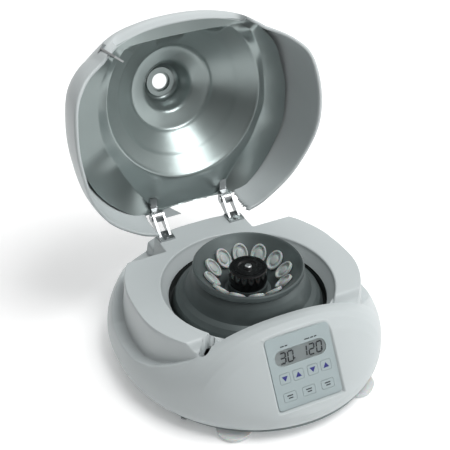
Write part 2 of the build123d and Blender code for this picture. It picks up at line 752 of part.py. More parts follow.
with BuildPart() as control_panel:
    with BuildSketch(panel_plane(-PANEL_THICK)):
        RectangleRounded(PANEL_WIDTH, PANEL_LENGTH, 3.0)
        with Locations((0, LCD_UP)):
            SlotOverall(LCD_SIZE[0], LCD_SIZE[1], mode=Mode.SUBTRACT)
        for name, x, up, (width, height) in keys:
            with Locations((x, up)):
                RectangleRounded(width + 2 * KEY_GAP, height + 2 * KEY_GAP, 1.5, mode=Mode.SUBTRACT)
    extrude(amount=PANEL_THICK)
save("control_panel", control_panel.part)

with BuildPart() as display_window:
    with BuildSketch(panel_plane(-PANEL_THICK)):
        with Locations((0, LCD_UP)):
            SlotOverall(LCD_SIZE[0] - 0.1, LCD_SIZE[1] - 0.1)
    extrude(amount=PANEL_THICK - 0.3)
save("display_window", display_window.part)

for name, x, up, (width, height) in keys:
    with BuildPart() as key:
        with BuildSketch(panel_plane(-PANEL_THICK)):
            with Locations((x, up)):
                RectangleRounded(width, height, 1.3)
        extrude(amount=PANEL_THICK + KEY_PROUD)
        with BuildSketch(panel_plane(-PANEL_THICK - 0.1)):
            with Locations((x, up)):
                Rectangle(width + KEY_FLANGE, height + KEY_FLANGE)
        extrude(amount=-KEY_FLANGE_THICK)
        with BuildSketch(panel_plane(-PANEL_THICK)):
            with Locations((x, up)):
                Rectangle(width, height)
        extrude(amount=-0.1)
    save(name, key.part)

BOARD_DEPTH = PANEL_THICK + PANEL_BACK + 0.4
with BuildPart() as control_board:
    with BuildSketch(panel_plane(-BOARD_DEPTH)):
        Rectangle(PANEL_WIDTH - 2 * PANEL_LEDGE - 1, PANEL_LENGTH - 8)
        with Locations((0, -9)):
            Rectangle(PANEL_WIDTH - 1, PANEL_LENGTH - 26)
    extrude(amount=-BOARD_THICK)
    with BuildSketch(panel_plane(-BOARD_DEPTH)):
        with Locations((0, -9)):
            with GridLocations(PANEL_WIDTH - 4, PANEL_LENGTH - 29, 2, 2):
                Circle(1.4)
    extrude(amount=0.4)
    with BuildSketch(panel_plane(-BOARD_DEPTH)):
        for name, x, up, size in keys:
            with Locations((x, up)):
                Circle(2.5)
    extrude(amount=BOARD_DEPTH - PANEL_THICK - 0.1 - KEY_FLANGE_THICK - KEY_TRAVEL - 0.1)
save("control_board", control_board.part)

with BuildPart() as display_module:
    with BuildSketch(panel_plane(-BOARD_DEPTH)):
        with Locations((0, LCD_UP)):
            Rectangle(LCD_SIZE[0] + 3, LCD_SIZE[1] + 2)
    extrude(amount=BOARD_DEPTH - PANEL_THICK)
save("display_module", display_module.part)

# Latch under the slot
with BuildPart() as latch_frame:
    with BuildSketch(bolt_plane(LATCH_FRAME[0])):
        Rectangle(LATCH_FRAME_WIDTH, 2 * LATCH_FRAME_HALF)
        Circle(BOLT_R + RUNNING_FIT, mode=Mode.SUBTRACT)
    extrude(amount=LATCH_FRAME[1] - LATCH_FRAME[0])
save("latch_frame", latch_frame.part)

with BuildPart() as latch_bolt:
    with BuildSketch(bolt_plane(BOLT_TIP)):
        Circle(BOLT_R)
    extrude(amount=BOLT_HEAD[1] - BOLT_TIP)
    with BuildSketch(bolt_plane(BOLT_HEAD[0])):
        Circle(BOLT_HEAD_R)
    extrude(amount=BOLT_HEAD[1] - BOLT_HEAD[0])
    tip_face = latch_bolt.faces().sort_by(Axis(origin=(0, 0, 0), direction=slot_across))[0]
    chamfer(tip_face.edges(), length=0.8)
save("latch_bolt", latch_bolt.part)

spring_room = BOLT_HEAD[0] - LATCH_FRAME[1] - 2 * SPRING_WIRE_R - 0.2
with BuildPart() as spring_coil:
    with BuildLine():
        coil = Helix(pitch=spring_room / 3, height=spring_room, radius=SPRING_R)
    with BuildSketch(Plane(origin=coil @ 0, z_dir=coil % 0)):
        Circle(SPRING_WIRE_R)
    sweep(path=coil, is_frenet=True)
latch_spring = spring_coil.part.moved(bolt_plane(LATCH_FRAME[1] + SPRING_WIRE_R + 0.1).location)
save("latch_spring", latch_spring)

# Hinge brackets and pins on the base
for side, word in ((-1, "left"), (1, "right")):
    with BuildPart() as hinge_bracket:
        (x_low, x_high), (y_low, y_high) = HINGE_PLATE
        x_limits = sorted((side * x_low, side * x_high))
        add(block(x_limits, (y_low, y_high), (DECK_Z, DECK_Z + HINGE_PLATE_THICK)))
        for offset in (-CHEEK_INNER - CHEEK_THICK, CHEEK_INNER):
            with BuildSketch(Plane.YZ.offset(side * HINGE_X + offset)):
                with BuildLine():
                    Polyline(
                        (y_low + 4, DECK_Z + 1), (y_high, DECK_Z + 1), (HINGE_Y + 4.2, HINGE_Z - 2.7),
                        (HINGE_Y - 3.0, HINGE_Z + 4.0), close=True,
                    )
                make_face()
                with Locations((HINGE_Y, HINGE_Z)):
                    Circle(HINGE_EYE_R)
                    Circle(HINGE_PIN_R, mode=Mode.SUBTRACT)
            extrude(amount=CHEEK_THICK)
    save(f"hinge_bracket_{word}", hinge_bracket.part)
    with BuildPart() as hinge_pin:
        pin_half = CHEEK_INNER + CHEEK_THICK
        with BuildSketch(Plane.YZ.offset(side * HINGE_X - pin_half)):
            with Locations((HINGE_Y, HINGE_Z)):
                Circle(HINGE_PIN_R)
        extrude(amount=2 * pin_half)
        for start in (-pin_half - HINGE_PIN_HEAD, pin_half):
            with BuildSketch(Plane.YZ.offset(side * HINGE_X + start)):
                with Locations((HINGE_Y, HINGE_Z)):
                    Circle(HINGE_PIN_HEAD_R)
            extrude(amount=HINGE_PIN_HEAD)
    save(f"hinge_pin_{word}", hinge_pin.part)

with BuildPart() as hinge_screws:
    with BuildSketch(Plane.XY.offset(DECK_Z + HINGE_PLATE_THICK)):
        for side in (-1, 1):
            with Locations(*[(side * HINGE_X, y) for y in HINGE_SCREW_Y]):
                Circle(HINGE_SCREW_R)
    extrude(amount=HINGE_SCREW_HEAD)
save("hinge_screws", hinge_screws.part)

# Rear panel, mains inlet and power switch
with BuildPart() as rear_panel:
    with BuildSketch(rear_plane(REAR_PANEL_Y)):
        with Locations((0, REAR_PANEL_Z)):
            Rectangle(REAR_PANEL[0], REAR_PANEL[1])
        with Locations((-INLET_X, REAR_PANEL_Z)):
            Rectangle(INLET_SIZE[0] + INLET_FIT, INLET_SIZE[1] + INLET_FIT, mode=Mode.SUBTRACT)
        with Locations((-SWITCH_X, REAR_PANEL_Z)):
            Rectangle(SWITCH_OPENING[0], SWITCH_OPENING[1], mode=Mode.SUBTRACT)
    extrude(amount=REAR_PANEL_THICK)
save("rear_panel", rear_panel.part)

with BuildPart() as mains_inlet:
    with BuildSketch(rear_plane(REAR_PANEL_Y + REAR_PANEL_THICK)):
        with Locations((-INLET_X, REAR_PANEL_Z)):
            Rectangle(INLET_SIZE[0] + INLET_FLANGE, INLET_SIZE[1] + INLET_FLANGE)
    extrude(amount=INLET_FLANGE_THICK)
    with BuildSketch(rear_plane(REAR_PANEL_Y + REAR_PANEL_THICK)):
        with Locations((-INLET_X, REAR_PANEL_Z)):
            Rectangle(INLET_SIZE[0], INLET_SIZE[1])
    extrude(amount=-INLET_DEPTH)
    with BuildSketch(rear_plane(REAR_PANEL_Y + REAR_PANEL_THICK + INLET_FLANGE_THICK)):
        with Locations((-INLET_X, REAR_PANEL_Z)):
            Rectangle(INLET_SOCKET[0], INLET_SOCKET[1])
    extrude(amount=-INLET_DEPTH + 1, mode=Mode.SUBTRACT)
    with BuildSketch(rear_plane(REAR_PANEL_Y + REAR_PANEL_THICK + INLET_FLANGE_THICK)):
        for x, z in INLET_PINS:
            with Locations((-INLET_X + x, REAR_PANEL_Z + z)):
                Rectangle(INLET_PIN[0], INLET_PIN[1])
    extrude(amount=-INLET_DEPTH)
save("mains_inlet", mains_inlet.part)

with BuildPart() as switch_body:
    with BuildSketch(rear_plane(REAR_PANEL_Y)):
        with Locations((-SWITCH_X, REAR_PANEL_Z)):
            Rectangle(SWITCH_OPENING[0] + SWITCH_FRAME, SWITCH_OPENING[1] + SWITCH_FRAME)
            Rectangle(SWITCH_OPENING[0], SWITCH_OPENING[1], mode=Mode.SUBTRACT)
    extrude(amount=-SWITCH_DEPTH)
    with BuildSketch(rear_plane(REAR_PANEL_Y - SWITCH_DEPTH)):
        with Locations((-SWITCH_X, REAR_PANEL_Z)):
            Rectangle(SWITCH_OPENING[0] + SWITCH_FRAME, SWITCH_OPENING[1] + SWITCH_FRAME)
    extrude(amount=-SWITCH_BACK)
save("switch_body", switch_body.part)

with BuildPart() as power_switch:
    rocker_plane = Plane(origin=(SWITCH_X, REAR_PANEL_Y, REAR_PANEL_Z), x_dir=(1, 0, 0), z_dir=(0, 1, 0))
    rocker_plane = rocker_plane.rotated((SWITCH_TILT, 0, 0))
    rocker_width = SWITCH_OPENING[0] - ROCKER_GAP[0]
    with BuildSketch(rocker_plane.offset(-ROCKER_BACK)):
        Rectangle(rocker_width, SWITCH_OPENING[1] - ROCKER_GAP[1])
    extrude(amount=ROCKER_THICK)
    with BuildSketch(rocker_plane.offset(-ROCKER_BACK)):
        Rectangle(ROCKER_STEM[0], ROCKER_STEM[0])
    extrude(amount=-ROCKER_STEM[1])
    with BuildSketch(Plane.YZ.offset(SWITCH_X - rocker_width / 2 - ROCKER_PIVOT_REACH)):
        with Locations((REAR_PANEL_Y, REAR_PANEL_Z)):
            Circle(ROCKER_PIVOT_R)
    extrude(amount=rocker_width + 2 * ROCKER_PIVOT_REACH)
save("power_switch", power_switch.part)

# Power board on its standoffs
with BuildPart() as power_board:
    board_z = SPLIT_Z + STANDOFF_HEIGHT
    with BuildSketch(Plane.XY.offset(board_z)):
        with Locations((0, POWER_BOARD_Y)):
            Rectangle(POWER_BOARD[0], POWER_BOARD[1])
    extrude(amount=BOARD_THICK)
    with BuildSketch(Plane.XY.offset(SPLIT_Z)):
        with Locations((0, POWER_BOARD_Y)):
            with GridLocations(POWER_BOARD[0] - 8, POWER_BOARD[1] - 8, 2, 2):
                Circle(STANDOFF_R)
    extrude(amount=STANDOFF_HEIGHT)
    for x, y, width, depth, height in POWER_PARTS:
        across = (x - width / 2, x + width / 2)
        along = (y - depth / 2, y + depth / 2)
        add(block(across, along, (board_z + 1, board_z + 1 + height)))
save("power_board", power_board.part)


def lid_hull(inset=0.0):
    """Closed dome of the lid on its plan outline, with a flat nose."""
    edge_r = LID_DOME[-1][0]
    dome = [(r - inset * r / edge_r, DECK_Z + z - inset * (1 - (r / edge_r) ** 3)) for r, z in LID_DOME]
    nose = [(y + inset, DECK_Z + z - inset) for y, z in LID_NOSE]
    with BuildPart() as hull:
        add(outline_block(20, FAR, BODY_HALF_WIDTH - inset, LID_FRONT - inset, BODY_REAR - inset))
        add(turned(dome, 10).moved(Location((0, LID_DOME_Y, 0))), mode=Mode.INTERSECT)
        with BuildSketch(Plane.YZ):
            with BuildLine():
                curve = Spline(*nose)
                Polyline(curve @ 1, (nose[-1][0], FAR), (-FAR, FAR), (-FAR, 0), (nose[0][0], 0), curve @ 0)
            make_face()
        extrude(amount=BODY_HALF_WIDTH + 20, both=True, mode=Mode.SUBTRACT)
    return hull.part


def opened(part):
    """The same part swung open about the hinge axis."""
    return part.rotate(Axis((0, HINGE_Y, HINGE_Z), (1, 0, 0)), -LID_OPEN_ANGLE)


front_room = block((-FAR, FAR), (-FAR, CHORD_Y + 4), (0, FAR))

with BuildPart() as grown_front:
    add(body_hull(-LID_BODY_GAP))
    add(front_room, mode=Mode.INTERSECT)

# Lid shell
with BuildPart() as lid_shell:
    add(lid_hull())
    add(lid_hull(LID_WALL), mode=Mode.SUBTRACT)
    add(above_step(RIM_GAP, LID_NOSE[0][0] - 5), mode=Mode.INTERSECT)
    add(grown_front.part, mode=Mode.SUBTRACT)
    add(block((-EAR_INNER_X, EAR_INNER_X), (90, FAR), (0, EAR_CUT_Z)), mode=Mode.SUBTRACT)
    with BuildSketch(Plane.XY.offset(DECK_Z + 40)):
        Circle(WINDOW_R)
    extrude(amount=40, mode=Mode.SUBTRACT)
save("lid_shell", opened(lid_shell.part))


def flange_room(lift, top):
    """Room between the liner flange line and a height."""
    points = [(y, DECK_Z + z + lift) for y, z in FLANGE_LINE]
    with BuildPart() as room:
        with BuildSketch(Plane.YZ):
            with BuildLine():
                curve = Spline(*points)
                Polyline(curve @ 1, (points[-1][0], top), (points[0][0], top), curve @ 0)
            make_face()
        extrude(amount=BODY_HALF_WIDTH + 20, both=True)
    return room.part


# Lid liner, a flange around a stepped bowl with a flat front
bowl_low = [(r, DECK_Z + z) for r, z in LINER_BOWL]
bowl_high = [(r + 1.4 * LINER_THICK / 2, z + 1.4 * LINER_THICK) for r, z in bowl_low]
with BuildPart() as bowl_room:
    with BuildSketch(Plane.XZ):
        with BuildLine():
            Polyline((0, bowl_low[0][1]), *bowl_low, (0, bowl_low[-1][1]), close=True)
        make_face()
    revolve(axis=Axis.Z)
    add(block((-FAR, FAR), (-FAR, LINER_FRONT_Y), (0, FAR)), mode=Mode.SUBTRACT)

with BuildPart() as bowl_wall:
    with BuildSketch(Plane.XZ):
        with BuildLine():
            Polyline(
                *bowl_low,
                (LINER_RIM_R + 1.4, bowl_low[-1][1]),
                (LINER_RIM_R + 1.4, DECK_Z + 9),
                *reversed(bowl_high[:-1]),
                close=True,
            )
        make_face()
    revolve(axis=Axis.Z)
    add(block((-FAR, FAR), (-FAR, LINER_FRONT_Y - LINER_THICK), (0, FAR)), mode=Mode.SUBTRACT)

with BuildPart() as lid_liner:
    add(flange_room(0, FAR))
    add(flange_room(LINER_THICK, FAR + 10), mode=Mode.SUBTRACT)
    add(lid_hull(LID_WALL + LINER_SIDE_GAP), mode=Mode.INTERSECT)
    add(bowl_wall.part)
    add(block((-49, 49), (LINER_FRONT_Y - LINER_THICK, LINER_FRONT_Y), (DECK_Z + 8, DECK_Z + 19)))
    add(bowl_room.part, mode=Mode.SUBTRACT)
    add(grown_front.part, mode=Mode.SUBTRACT)
save("lid_liner", opened(lid_liner.part))

# Clear window in the crown of the dome, with its seal
WINDOW_Z = bowl_low[0][1]
with BuildPart() as viewing_window:
    with BuildSketch(Plane.XY.offset(WINDOW_Z + SEAL_THICK)):
        Circle(WINDOW_FLANGE_R)
    extrude(amount=WINDOW_FLANGE_THICK)
    with BuildSketch(Plane.XY.offset(WINDOW_Z + SEAL_THICK + WINDOW_FLANGE_THICK)):
        Circle(WINDOW_R - WINDOW_FIT)
    extrude(amount=WINDOW_PLUG)
save("viewing_window", opened(viewing_window.part))

with BuildPart() as window_seal:
    with BuildSketch(Plane.XY.offset(WINDOW_Z)):
        Circle(WINDOW_FLANGE_R)
        Circle(WINDOW_R, mode=Mode.SUBTRACT)
    extrude(amount=SEAL_THICK)
save("window_seal", opened(window_seal.part))

# Hinge leaves under the rear of the liner
for side, word in ((-1, "left"), (1, "right")):
    with BuildPart() as hinge_leaf:
        with BuildSketch(Plane.YZ.offset(side * HINGE_X - LEAF_HALF_WIDTH)):
            with Locations((HINGE_Y, HINGE_Z)):
                Circle(HINGE_EYE_R)
            with BuildLine():
                Polyline(
                    (HINGE_Y - 4.9, HINGE_Z),
                    (HINGE_Y, HINGE_Z),
                    (HINGE_Y - 2.5, DECK_Z + 19.2),
                    (LEAF_END_Y, DECK_Z + 17.0),
                    (LEAF_END_Y, DECK_Z + 15.0),
                    (HINGE_Y - 6.5, DECK_Z + 16.2),
                    close=True,
                )
            make_face()
            with Locations((HINGE_Y, HINGE_Z)):
                Circle(HINGE_PIN_R + RUNNING_FIT, mode=Mode.SUBTRACT)
        extrude(amount=2 * LEAF_HALF_WIDTH)
    save(f"hinge_leaf_{word}", opened(hinge_leaf.part))

# Striker hook under the front left of the liner
with BuildPart() as lid_hook:
    with BuildSketch(slot_plane(HOOK_LOW)):
        Rectangle(HOOK_LENGTH, HOOK_THICK)
    extrude(amount=DECK_Z + 7.4 - HOOK_LOW)
    with BuildSketch(slot_plane(DECK_Z + 6.0)):
        Rectangle(HOOK_LENGTH, 9.0)
    extrude(amount=1.4)
    with BuildSketch(bolt_plane(-5)):
        Circle(BOLT_R + BOLT_HOLE_FIT)
    extrude(amount=10, mode=Mode.SUBTRACT)
save("lid_hook", opened(lid_hook.part))

# Cover plate behind the left hinge
with BuildPart() as hinge_cover:
    with BuildSketch(Plane.XY.offset(COVER_Z)):
        with BuildLine():
            Polyline(*COVER_LINE, close=True)
        make_face()
    extrude(amount=COVER_THICK)
save("hinge_cover", opened(hinge_cover.part))
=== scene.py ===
"""Mini centrifuge with its lid open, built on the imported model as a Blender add-on."""
import json
import math

import bpy
import numpy as np
from mathutils import Matrix, Vector

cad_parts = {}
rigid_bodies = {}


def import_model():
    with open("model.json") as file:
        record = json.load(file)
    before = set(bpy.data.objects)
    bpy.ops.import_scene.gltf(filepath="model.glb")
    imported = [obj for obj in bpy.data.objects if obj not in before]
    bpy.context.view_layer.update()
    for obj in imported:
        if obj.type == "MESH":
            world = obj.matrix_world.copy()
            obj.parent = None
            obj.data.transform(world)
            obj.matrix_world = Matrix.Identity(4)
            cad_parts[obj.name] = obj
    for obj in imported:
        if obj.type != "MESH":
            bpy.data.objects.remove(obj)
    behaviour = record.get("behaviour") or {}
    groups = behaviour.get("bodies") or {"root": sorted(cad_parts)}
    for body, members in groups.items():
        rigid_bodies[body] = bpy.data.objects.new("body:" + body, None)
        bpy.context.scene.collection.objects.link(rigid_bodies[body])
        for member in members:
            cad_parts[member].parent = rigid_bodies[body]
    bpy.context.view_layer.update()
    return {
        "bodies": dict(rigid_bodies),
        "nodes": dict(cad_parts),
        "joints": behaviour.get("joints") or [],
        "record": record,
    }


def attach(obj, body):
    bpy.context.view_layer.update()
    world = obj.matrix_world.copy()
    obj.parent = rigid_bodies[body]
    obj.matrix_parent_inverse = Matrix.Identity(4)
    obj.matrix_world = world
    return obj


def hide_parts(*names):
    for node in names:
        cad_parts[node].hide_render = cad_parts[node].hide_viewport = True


bl_info = {
    "name": "Mini Centrifuge",
    "version": (1, 0, 0),
    "blender": (4, 5, 0),
    "location": "View3D > Sidebar > Centrifuge",
    "description": "Dresses the packed mini centrifuge and sets its studio",
    "category": "Object",
}

MM = 0.001
DECK = 70.0  # height of the deck above the bench
HINGE_Y, HINGE_Z = 106.5, 11.7  # hinge axis, behind the rotor's axis and above the deck
OPEN_ANGLE = 101.3  # degrees from the shut lid to the open one
STATE = {}


# Helpers for meshes

def mesh_object(name, points, faces, material, body, smooth=True):
    """Object from points in millimetres, riding on a body."""
    mesh = bpy.data.meshes.new(name)
    corners = (np.asarray(points, float) * MM).tolist()
    mesh.from_pydata(corners, [], [list(map(int, face)) for face in faces])
    mesh.update()
    mesh.polygons.foreach_set("use_smooth", [smooth] * len(mesh.polygons))
    mesh.materials.append(material)
    piece = bpy.data.objects.new(name, mesh)
    bpy.context.scene.collection.objects.link(piece)
    if body:
        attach(piece, body)
    return piece


def grid_faces(rows, columns, closed):
    """Quads between neighbours of a grid, the columns joined up when closed."""
    last = columns if closed else columns - 1
    r, c = np.meshgrid(np.arange(rows - 1), np.arange(last), indexing="ij")
    n = (c + 1) % columns
    near, far = r * columns, (r + 1) * columns
    return np.stack([near + c, near + n, far + n, far + c], -1).reshape(-1, 4)


def turned(profile, columns=96):
    """Points and quads of a profile of radius and height turned about Z."""
    angle = np.linspace(0, 2 * math.pi, columns, endpoint=False)
    profile = np.asarray(profile, float)
    radius, height = profile[:, :1], profile[:, 1:]
    points = np.stack([radius * np.cos(angle), radius * np.sin(angle), height + 0 * angle], -1).reshape(-1, 3)
    return points, grid_faces(len(profile), columns, True)


def bend(start, corner, end, steps):
    """Curve from start to end pulled towards a corner: each point is the mean of the three,
    weighted by (1 - t) squared, twice t times (1 - t), and t squared."""
    return [(1 - t) ** 2 * start + 2 * t * (1 - t) * corner + t * t * end for t in np.linspace(0, 1, steps + 1)]


def rounded(points, radius, steps=4):
    """Open profile whose inner corners are replaced by curves that start a radius away."""
    out = [points[0]]
    for before, corner, after in zip(points, points[1:], points[2:]):
        b, c, a = (np.asarray(p, float) for p in (before, corner, after))
        u, v = b - c, a - c
        reach = min(radius, np.linalg.norm(u) * 0.45, np.linalg.norm(v) * 0.45)
        start, end = c + u / np.linalg.norm(u) * reach, c + v / np.linalg.norm(v) * reach
        out += bend(start, c, end, steps)
    out.append(points[-1])
    return np.asarray(out, float)


def ease(low, high, value):
    """Smooth change from 0 at low to 1 at high: three times t squared less twice t cubed."""
    t = np.clip((np.asarray(value, float) - low) / (high - low), 0, 1)
    return t * t * (3 - 2 * t)


# Helpers for materials

def linear(hex_colour):
    """Linear colour of an sRGB hex value, by the standard curve with its straight foot."""
    channels = [int(hex_colour[i:i + 2], 16) / 255 for i in (1, 3, 5)]
    return [c / 12.92 if c <= 0.04045 else ((c + 0.055) / 1.055) ** 2.4 for c in channels] + [1.0]


WAVE_TURN = 20.0  # the wave node's rings turn through this many radians per unit


class Finish:
    """Node material with a colour pattern and a bump, in Object coordinates."""

    def __init__(self, name, colour, roughness, metallic=0.0):
        self.material = bpy.data.materials.new(name)
        self.material.use_nodes = True
        self.tree = self.material.node_tree
        self.shader = self.tree.nodes["Principled BSDF"]
        self.shader.inputs["Base Color"].default_value = linear(colour)
        self.shader.inputs["Roughness"].default_value = roughness
        self.shader.inputs["Metallic"].default_value = metallic
        self.place = self.tree.nodes.new("ShaderNodeTexCoord").outputs["Object"]
        self.normal = None

    def set(self, **values):
        """Uniform values of the shader."""
        for socket, value in values.items():
            self.shader.inputs[socket.replace("_", " ")].default_value = value
        return self

    def noise(self, size, detail=2.0, stretch=(1, 1, 1)):
        """Noise of a feature size in millimetres."""
        scaled = self.tree.nodes.new("ShaderNodeMapping")
        scaled.inputs["Scale"].default_value = stretch
        self.tree.links.new(self.place, scaled.inputs["Vector"])
        node = self.tree.nodes.new("ShaderNodeTexNoise")
        node.inputs["Scale"].default_value = 1 / MM / size
        node.inputs["Detail"].default_value = detail
        self.tree.links.new(scaled.outputs["Vector"], node.inputs["Vector"])
        return node.outputs["Fac"]

    def rings(self, pitch):
        """Rings about Z at a pitch in millimetres: a full turn over the node's turn per unit, over the pitch."""
        node = self.tree.nodes.new("ShaderNodeTexWave")
        node.wave_type = "RINGS"
        node.rings_direction = "Z"
        node.inputs["Scale"].default_value = 2 * math.pi / WAVE_TURN / (pitch * MM)
        node.inputs["Distortion"].default_value = 0.6
        self.tree.links.new(self.place, node.inputs["Vector"])
        return node.outputs["Fac"]

    def vary(self, socket, source, low, high):
        """Socket that follows a pattern between two values or colours."""
        if isinstance(low, str):
            node = self.tree.nodes.new("ShaderNodeMix")
            node.data_type = "RGBA"
            node.inputs["A"].default_value = linear(low)
            node.inputs["B"].default_value = linear(high)
            self.tree.links.new(source, node.inputs["Factor"])
            result = [o for o in node.outputs if o.type == "RGBA"][0]
        else:
            node = self.tree.nodes.new("ShaderNodeMapRange")
            node.inputs["To Min"].default_value = low
            node.inputs["To Max"].default_value = high
            self.tree.links.new(source, node.inputs["Value"])
            result = node.outputs["Result"]
        self.tree.links.new(result, self.shader.inputs[socket])
        return self

    def bump(self, source, depth, strength=1.0):
        """Bump of a depth in millimetres, on top of what is there."""
        node = self.tree.nodes.new("ShaderNodeBump")
        node.inputs["Distance"].default_value = depth * MM
        node.inputs["Strength"].default_value = strength
        self.tree.links.new(source, node.inputs["Height"])
        if self.normal:
            self.tree.links.new(self.normal, node.inputs["Normal"])
        self.normal = node.outputs["Normal"]
        self.tree.links.new(self.normal, self.shader.inputs["Normal"])
        return self


ROTOR_RINGS, CHAMBER_RINGS = 5.094, 7.641  # pitches of the turned rings


def moulded_plastic():
    """Pale grey housing plastic with a fine spark-eroded grain."""
    f = Finish("Moulded plastic", "#bdc4c5", 0.42)
    f.vary("Base Color", f.noise(60), "#b8bfc0", "#c0c7c8")
    f.vary("Roughness", f.noise(25), 0.38, 0.48)
    return f.bump(f.noise(0.7), 0.02, 0.5)


def lid_lining():
    """Semi-gloss metallic grey of the pressed liner."""
    f = Finish("Pressed liner", "#98a3a2", 0.30, 0.75)
    f.vary("Base Color", f.noise(40), "#8d9897", "#9fa9a8")
    f.vary("Roughness", f.noise(18), 0.26, 0.36)
    return f.bump(f.noise(30, 1.0), 0.35, 0.35)


def anodised_rotor():
    """Dark anodised aluminium with faint turning rings."""
    f = Finish("Anodised rotor", "#545d5d", 0.42, 0.45)
    f.vary("Base Color", f.noise(15), "#505959", "#5a6363")
    f.vary("Roughness", f.rings(ROTOR_RINGS), 0.36, 0.46)
    return f.bump(f.rings(ROTOR_RINGS), 0.01, 0.4)


def gloss_black():
    """Polished black cap of the rotor nut."""
    f = Finish("Gloss black", "#0b0b0c", 0.12)
    f.vary("Roughness", f.noise(8), 0.09, 0.16)
    return f.bump(f.noise(5), 0.01, 0.2)


def bright_steel():
    """Zinc plated steel with a light directional grain."""
    f = Finish("Plated steel", "#b9bcbd", 0.30, 1.0)
    f.vary("Roughness", f.noise(1.2, stretch=(1, 8, 1)), 0.24, 0.38)
    return f.bump(f.noise(0.5, stretch=(1, 6, 1)), 0.01, 0.3)


def chamber_sheet():
    """Satin aluminium sheet of the chamber."""
    f = Finish("Chamber sheet", "#7d8484", 0.4, 0.8)
    f.vary("Roughness", f.rings(CHAMBER_RINGS), 0.34, 0.46)
    return f.bump(f.rings(CHAMBER_RINGS), 0.01, 0.3)


def natural_tube():
    """Natural polypropylene, translucent and slightly waxy."""
    f = Finish("Natural polypropylene", "#cfd8d6", 0.34)
    f.set(Transmission_Weight=0.35, Subsurface_Weight=0.3, Subsurface_Scale=0.003, IOR=1.49)
    f.vary("Roughness", f.noise(3), 0.28, 0.42)
    return f.bump(f.noise(2), 0.03, 0.3)


def clear_window():
    """Clear acrylic."""
    f = Finish("Clear acrylic", "#eef2f2", 0.06)
    f.set(Transmission_Weight=1.0, IOR=1.49)
    return f.bump(f.noise(20), 0.01, 0.2)


def translucent_foot():
    """Milky translucent rubber."""
    f = Finish("Milky rubber", "#e6eaea", 0.5)
    f.set(Transmission_Weight=0.3, Subsurface_Weight=0.4, Subsurface_Scale=0.004)
    return f.bump(f.noise(1.5), 0.05, 0.3)


def panel_film():
    """Pale blue-grey membrane of the control panel."""
    f = Finish("Panel film", "#a3b0b2", 0.46)
    f.vary("Base Color", f.noise(30), "#a1aeb0", "#a6b3b5")
    return f.bump(f.noise(0.4), 0.02, 0.4)


def key_cap():
    """Key caps in the tone of the film."""
    f = Finish("Key cap", "#a4b1b3", 0.46)
    f.vary("Roughness", f.noise(2), 0.36, 0.44)
    return f.bump(f.noise(0.4), 0.01, 0.3)


def display_ground():
    """Grey-green reflective ground of the display."""
    f = Finish("Display ground", "#b6c1bf", 0.35)
    f.vary("Base Color", f.noise(12), "#b1bcba", "#bbc6c4")
    return f.bump(f.noise(0.5), 0.005, 0.2)


def dark_print():
    """Dark ink."""
    f = Finish("Dark print", "#23282c", 0.4)
    return f.bump(f.noise(0.5), 0.005, 0.2)


def navy_print():
    """Navy ink of the arrows."""
    f = Finish("Navy print", "#2f2f7c", 0.4)
    return f.bump(f.noise(0.5), 0.005, 0.2)


def soft_rubber():
    """Black seal rubber."""
    f = Finish("Seal rubber", "#1b1d1e", 0.6)
    f.vary("Roughness", f.noise(1), 0.55, 0.7)
    return f.bump(f.noise(0.6), 0.03, 0.4)


def black_moulding():
    """Satin black plastic of the rear fittings."""
    f = Finish("Black moulding", "#17191a", 0.45)
    f.vary("Roughness", f.noise(2), 0.4, 0.55)
    return f.bump(f.noise(0.5), 0.02, 0.4)


def motor_paint():
    """Dark enamel of the motor can."""
    f = Finish("Motor enamel", "#24272a", 0.35)
    f.vary("Roughness", f.noise(4), 0.3, 0.45)
    return f.bump(f.noise(1.5), 0.02, 0.3)


def board_laminate():
    """Green lacquered circuit board."""
    f = Finish("Board lacquer", "#1e5b3a", 0.3)
    f.vary("Base Color", f.noise(3), "#1a5334", "#236744")
    return f.bump(f.noise(1), 0.02, 0.3)


FINISHES = {
    "housing_plastic": moulded_plastic, "liner_metal": lid_lining, "rotor_anodised": anodised_rotor,
    "nut_black": gloss_black, "steel": bright_steel, "chamber_metal": chamber_sheet,
    "motor_paint": motor_paint, "rubber_dark": soft_rubber, "rubber_clear": translucent_foot,
    "tube_plastic": natural_tube, "panel_plastic": panel_film, "display_clear": clear_window,
    "display_grey": display_ground, "key_grey": key_cap, "board_green": board_laminate,
    "black_plastic": black_moulding, "window_clear": clear_window,
    "ink": dark_print, "navy": navy_print,
}


def finish_of(slot):
    """Material of a slot, made at first use."""
    made = STATE.setdefault("finishes", {})
    if slot not in made:
        made[slot] = FINISHES[slot]().material
    return made[slot]


# Form of the body, in millimetres: x to the right, y to the rear, z above the deck

BODY_HALF, BODY_FRONT, BODY_REAR = 112.9, 116.7, 117.0  # half width and reaches of the body's outline
DECK_FRONT, DECK_REAR = 84.0, 101.0  # reaches of the deck's outline
WAIST = -50.0  # foot of the arched crown
PAN_JOINT = -51.0  # where the tuck under the body starts
TUCK_R, TUCK_DEPTH = 14.0, 11.0  # radius of the tuck and how deep it goes
WALL_Y = 54.3  # the opening's flat front wall
FLOOR_R, RIM_R = 66.3, 72.3  # foot and rim of the opening
POCKET_R = 38.0  # room round the hinge axis for the lid's ears
POCKET_IN, POCKET_OUT = 42.2, 84.6  # sides of each pocket
SLOT_X, SLOT_Y = -64.25, -52.25  # middle of the latch slot
SLOT_LONG, SLOT_R = 5.9, 4.0  # half length of its middle line and its radius
SLOT_ALONG, SLOT_SIDE = np.array([-0.7612, -0.6485]), np.array([0.6485, -0.7612])
SLOT_DEPTH = 14
SLOT_FRONT = -70  # nothing in front of this belongs to the slot
PANEL_HALF_WIDTH, PANEL_HALF_HEIGHT = 28.5, 28.9
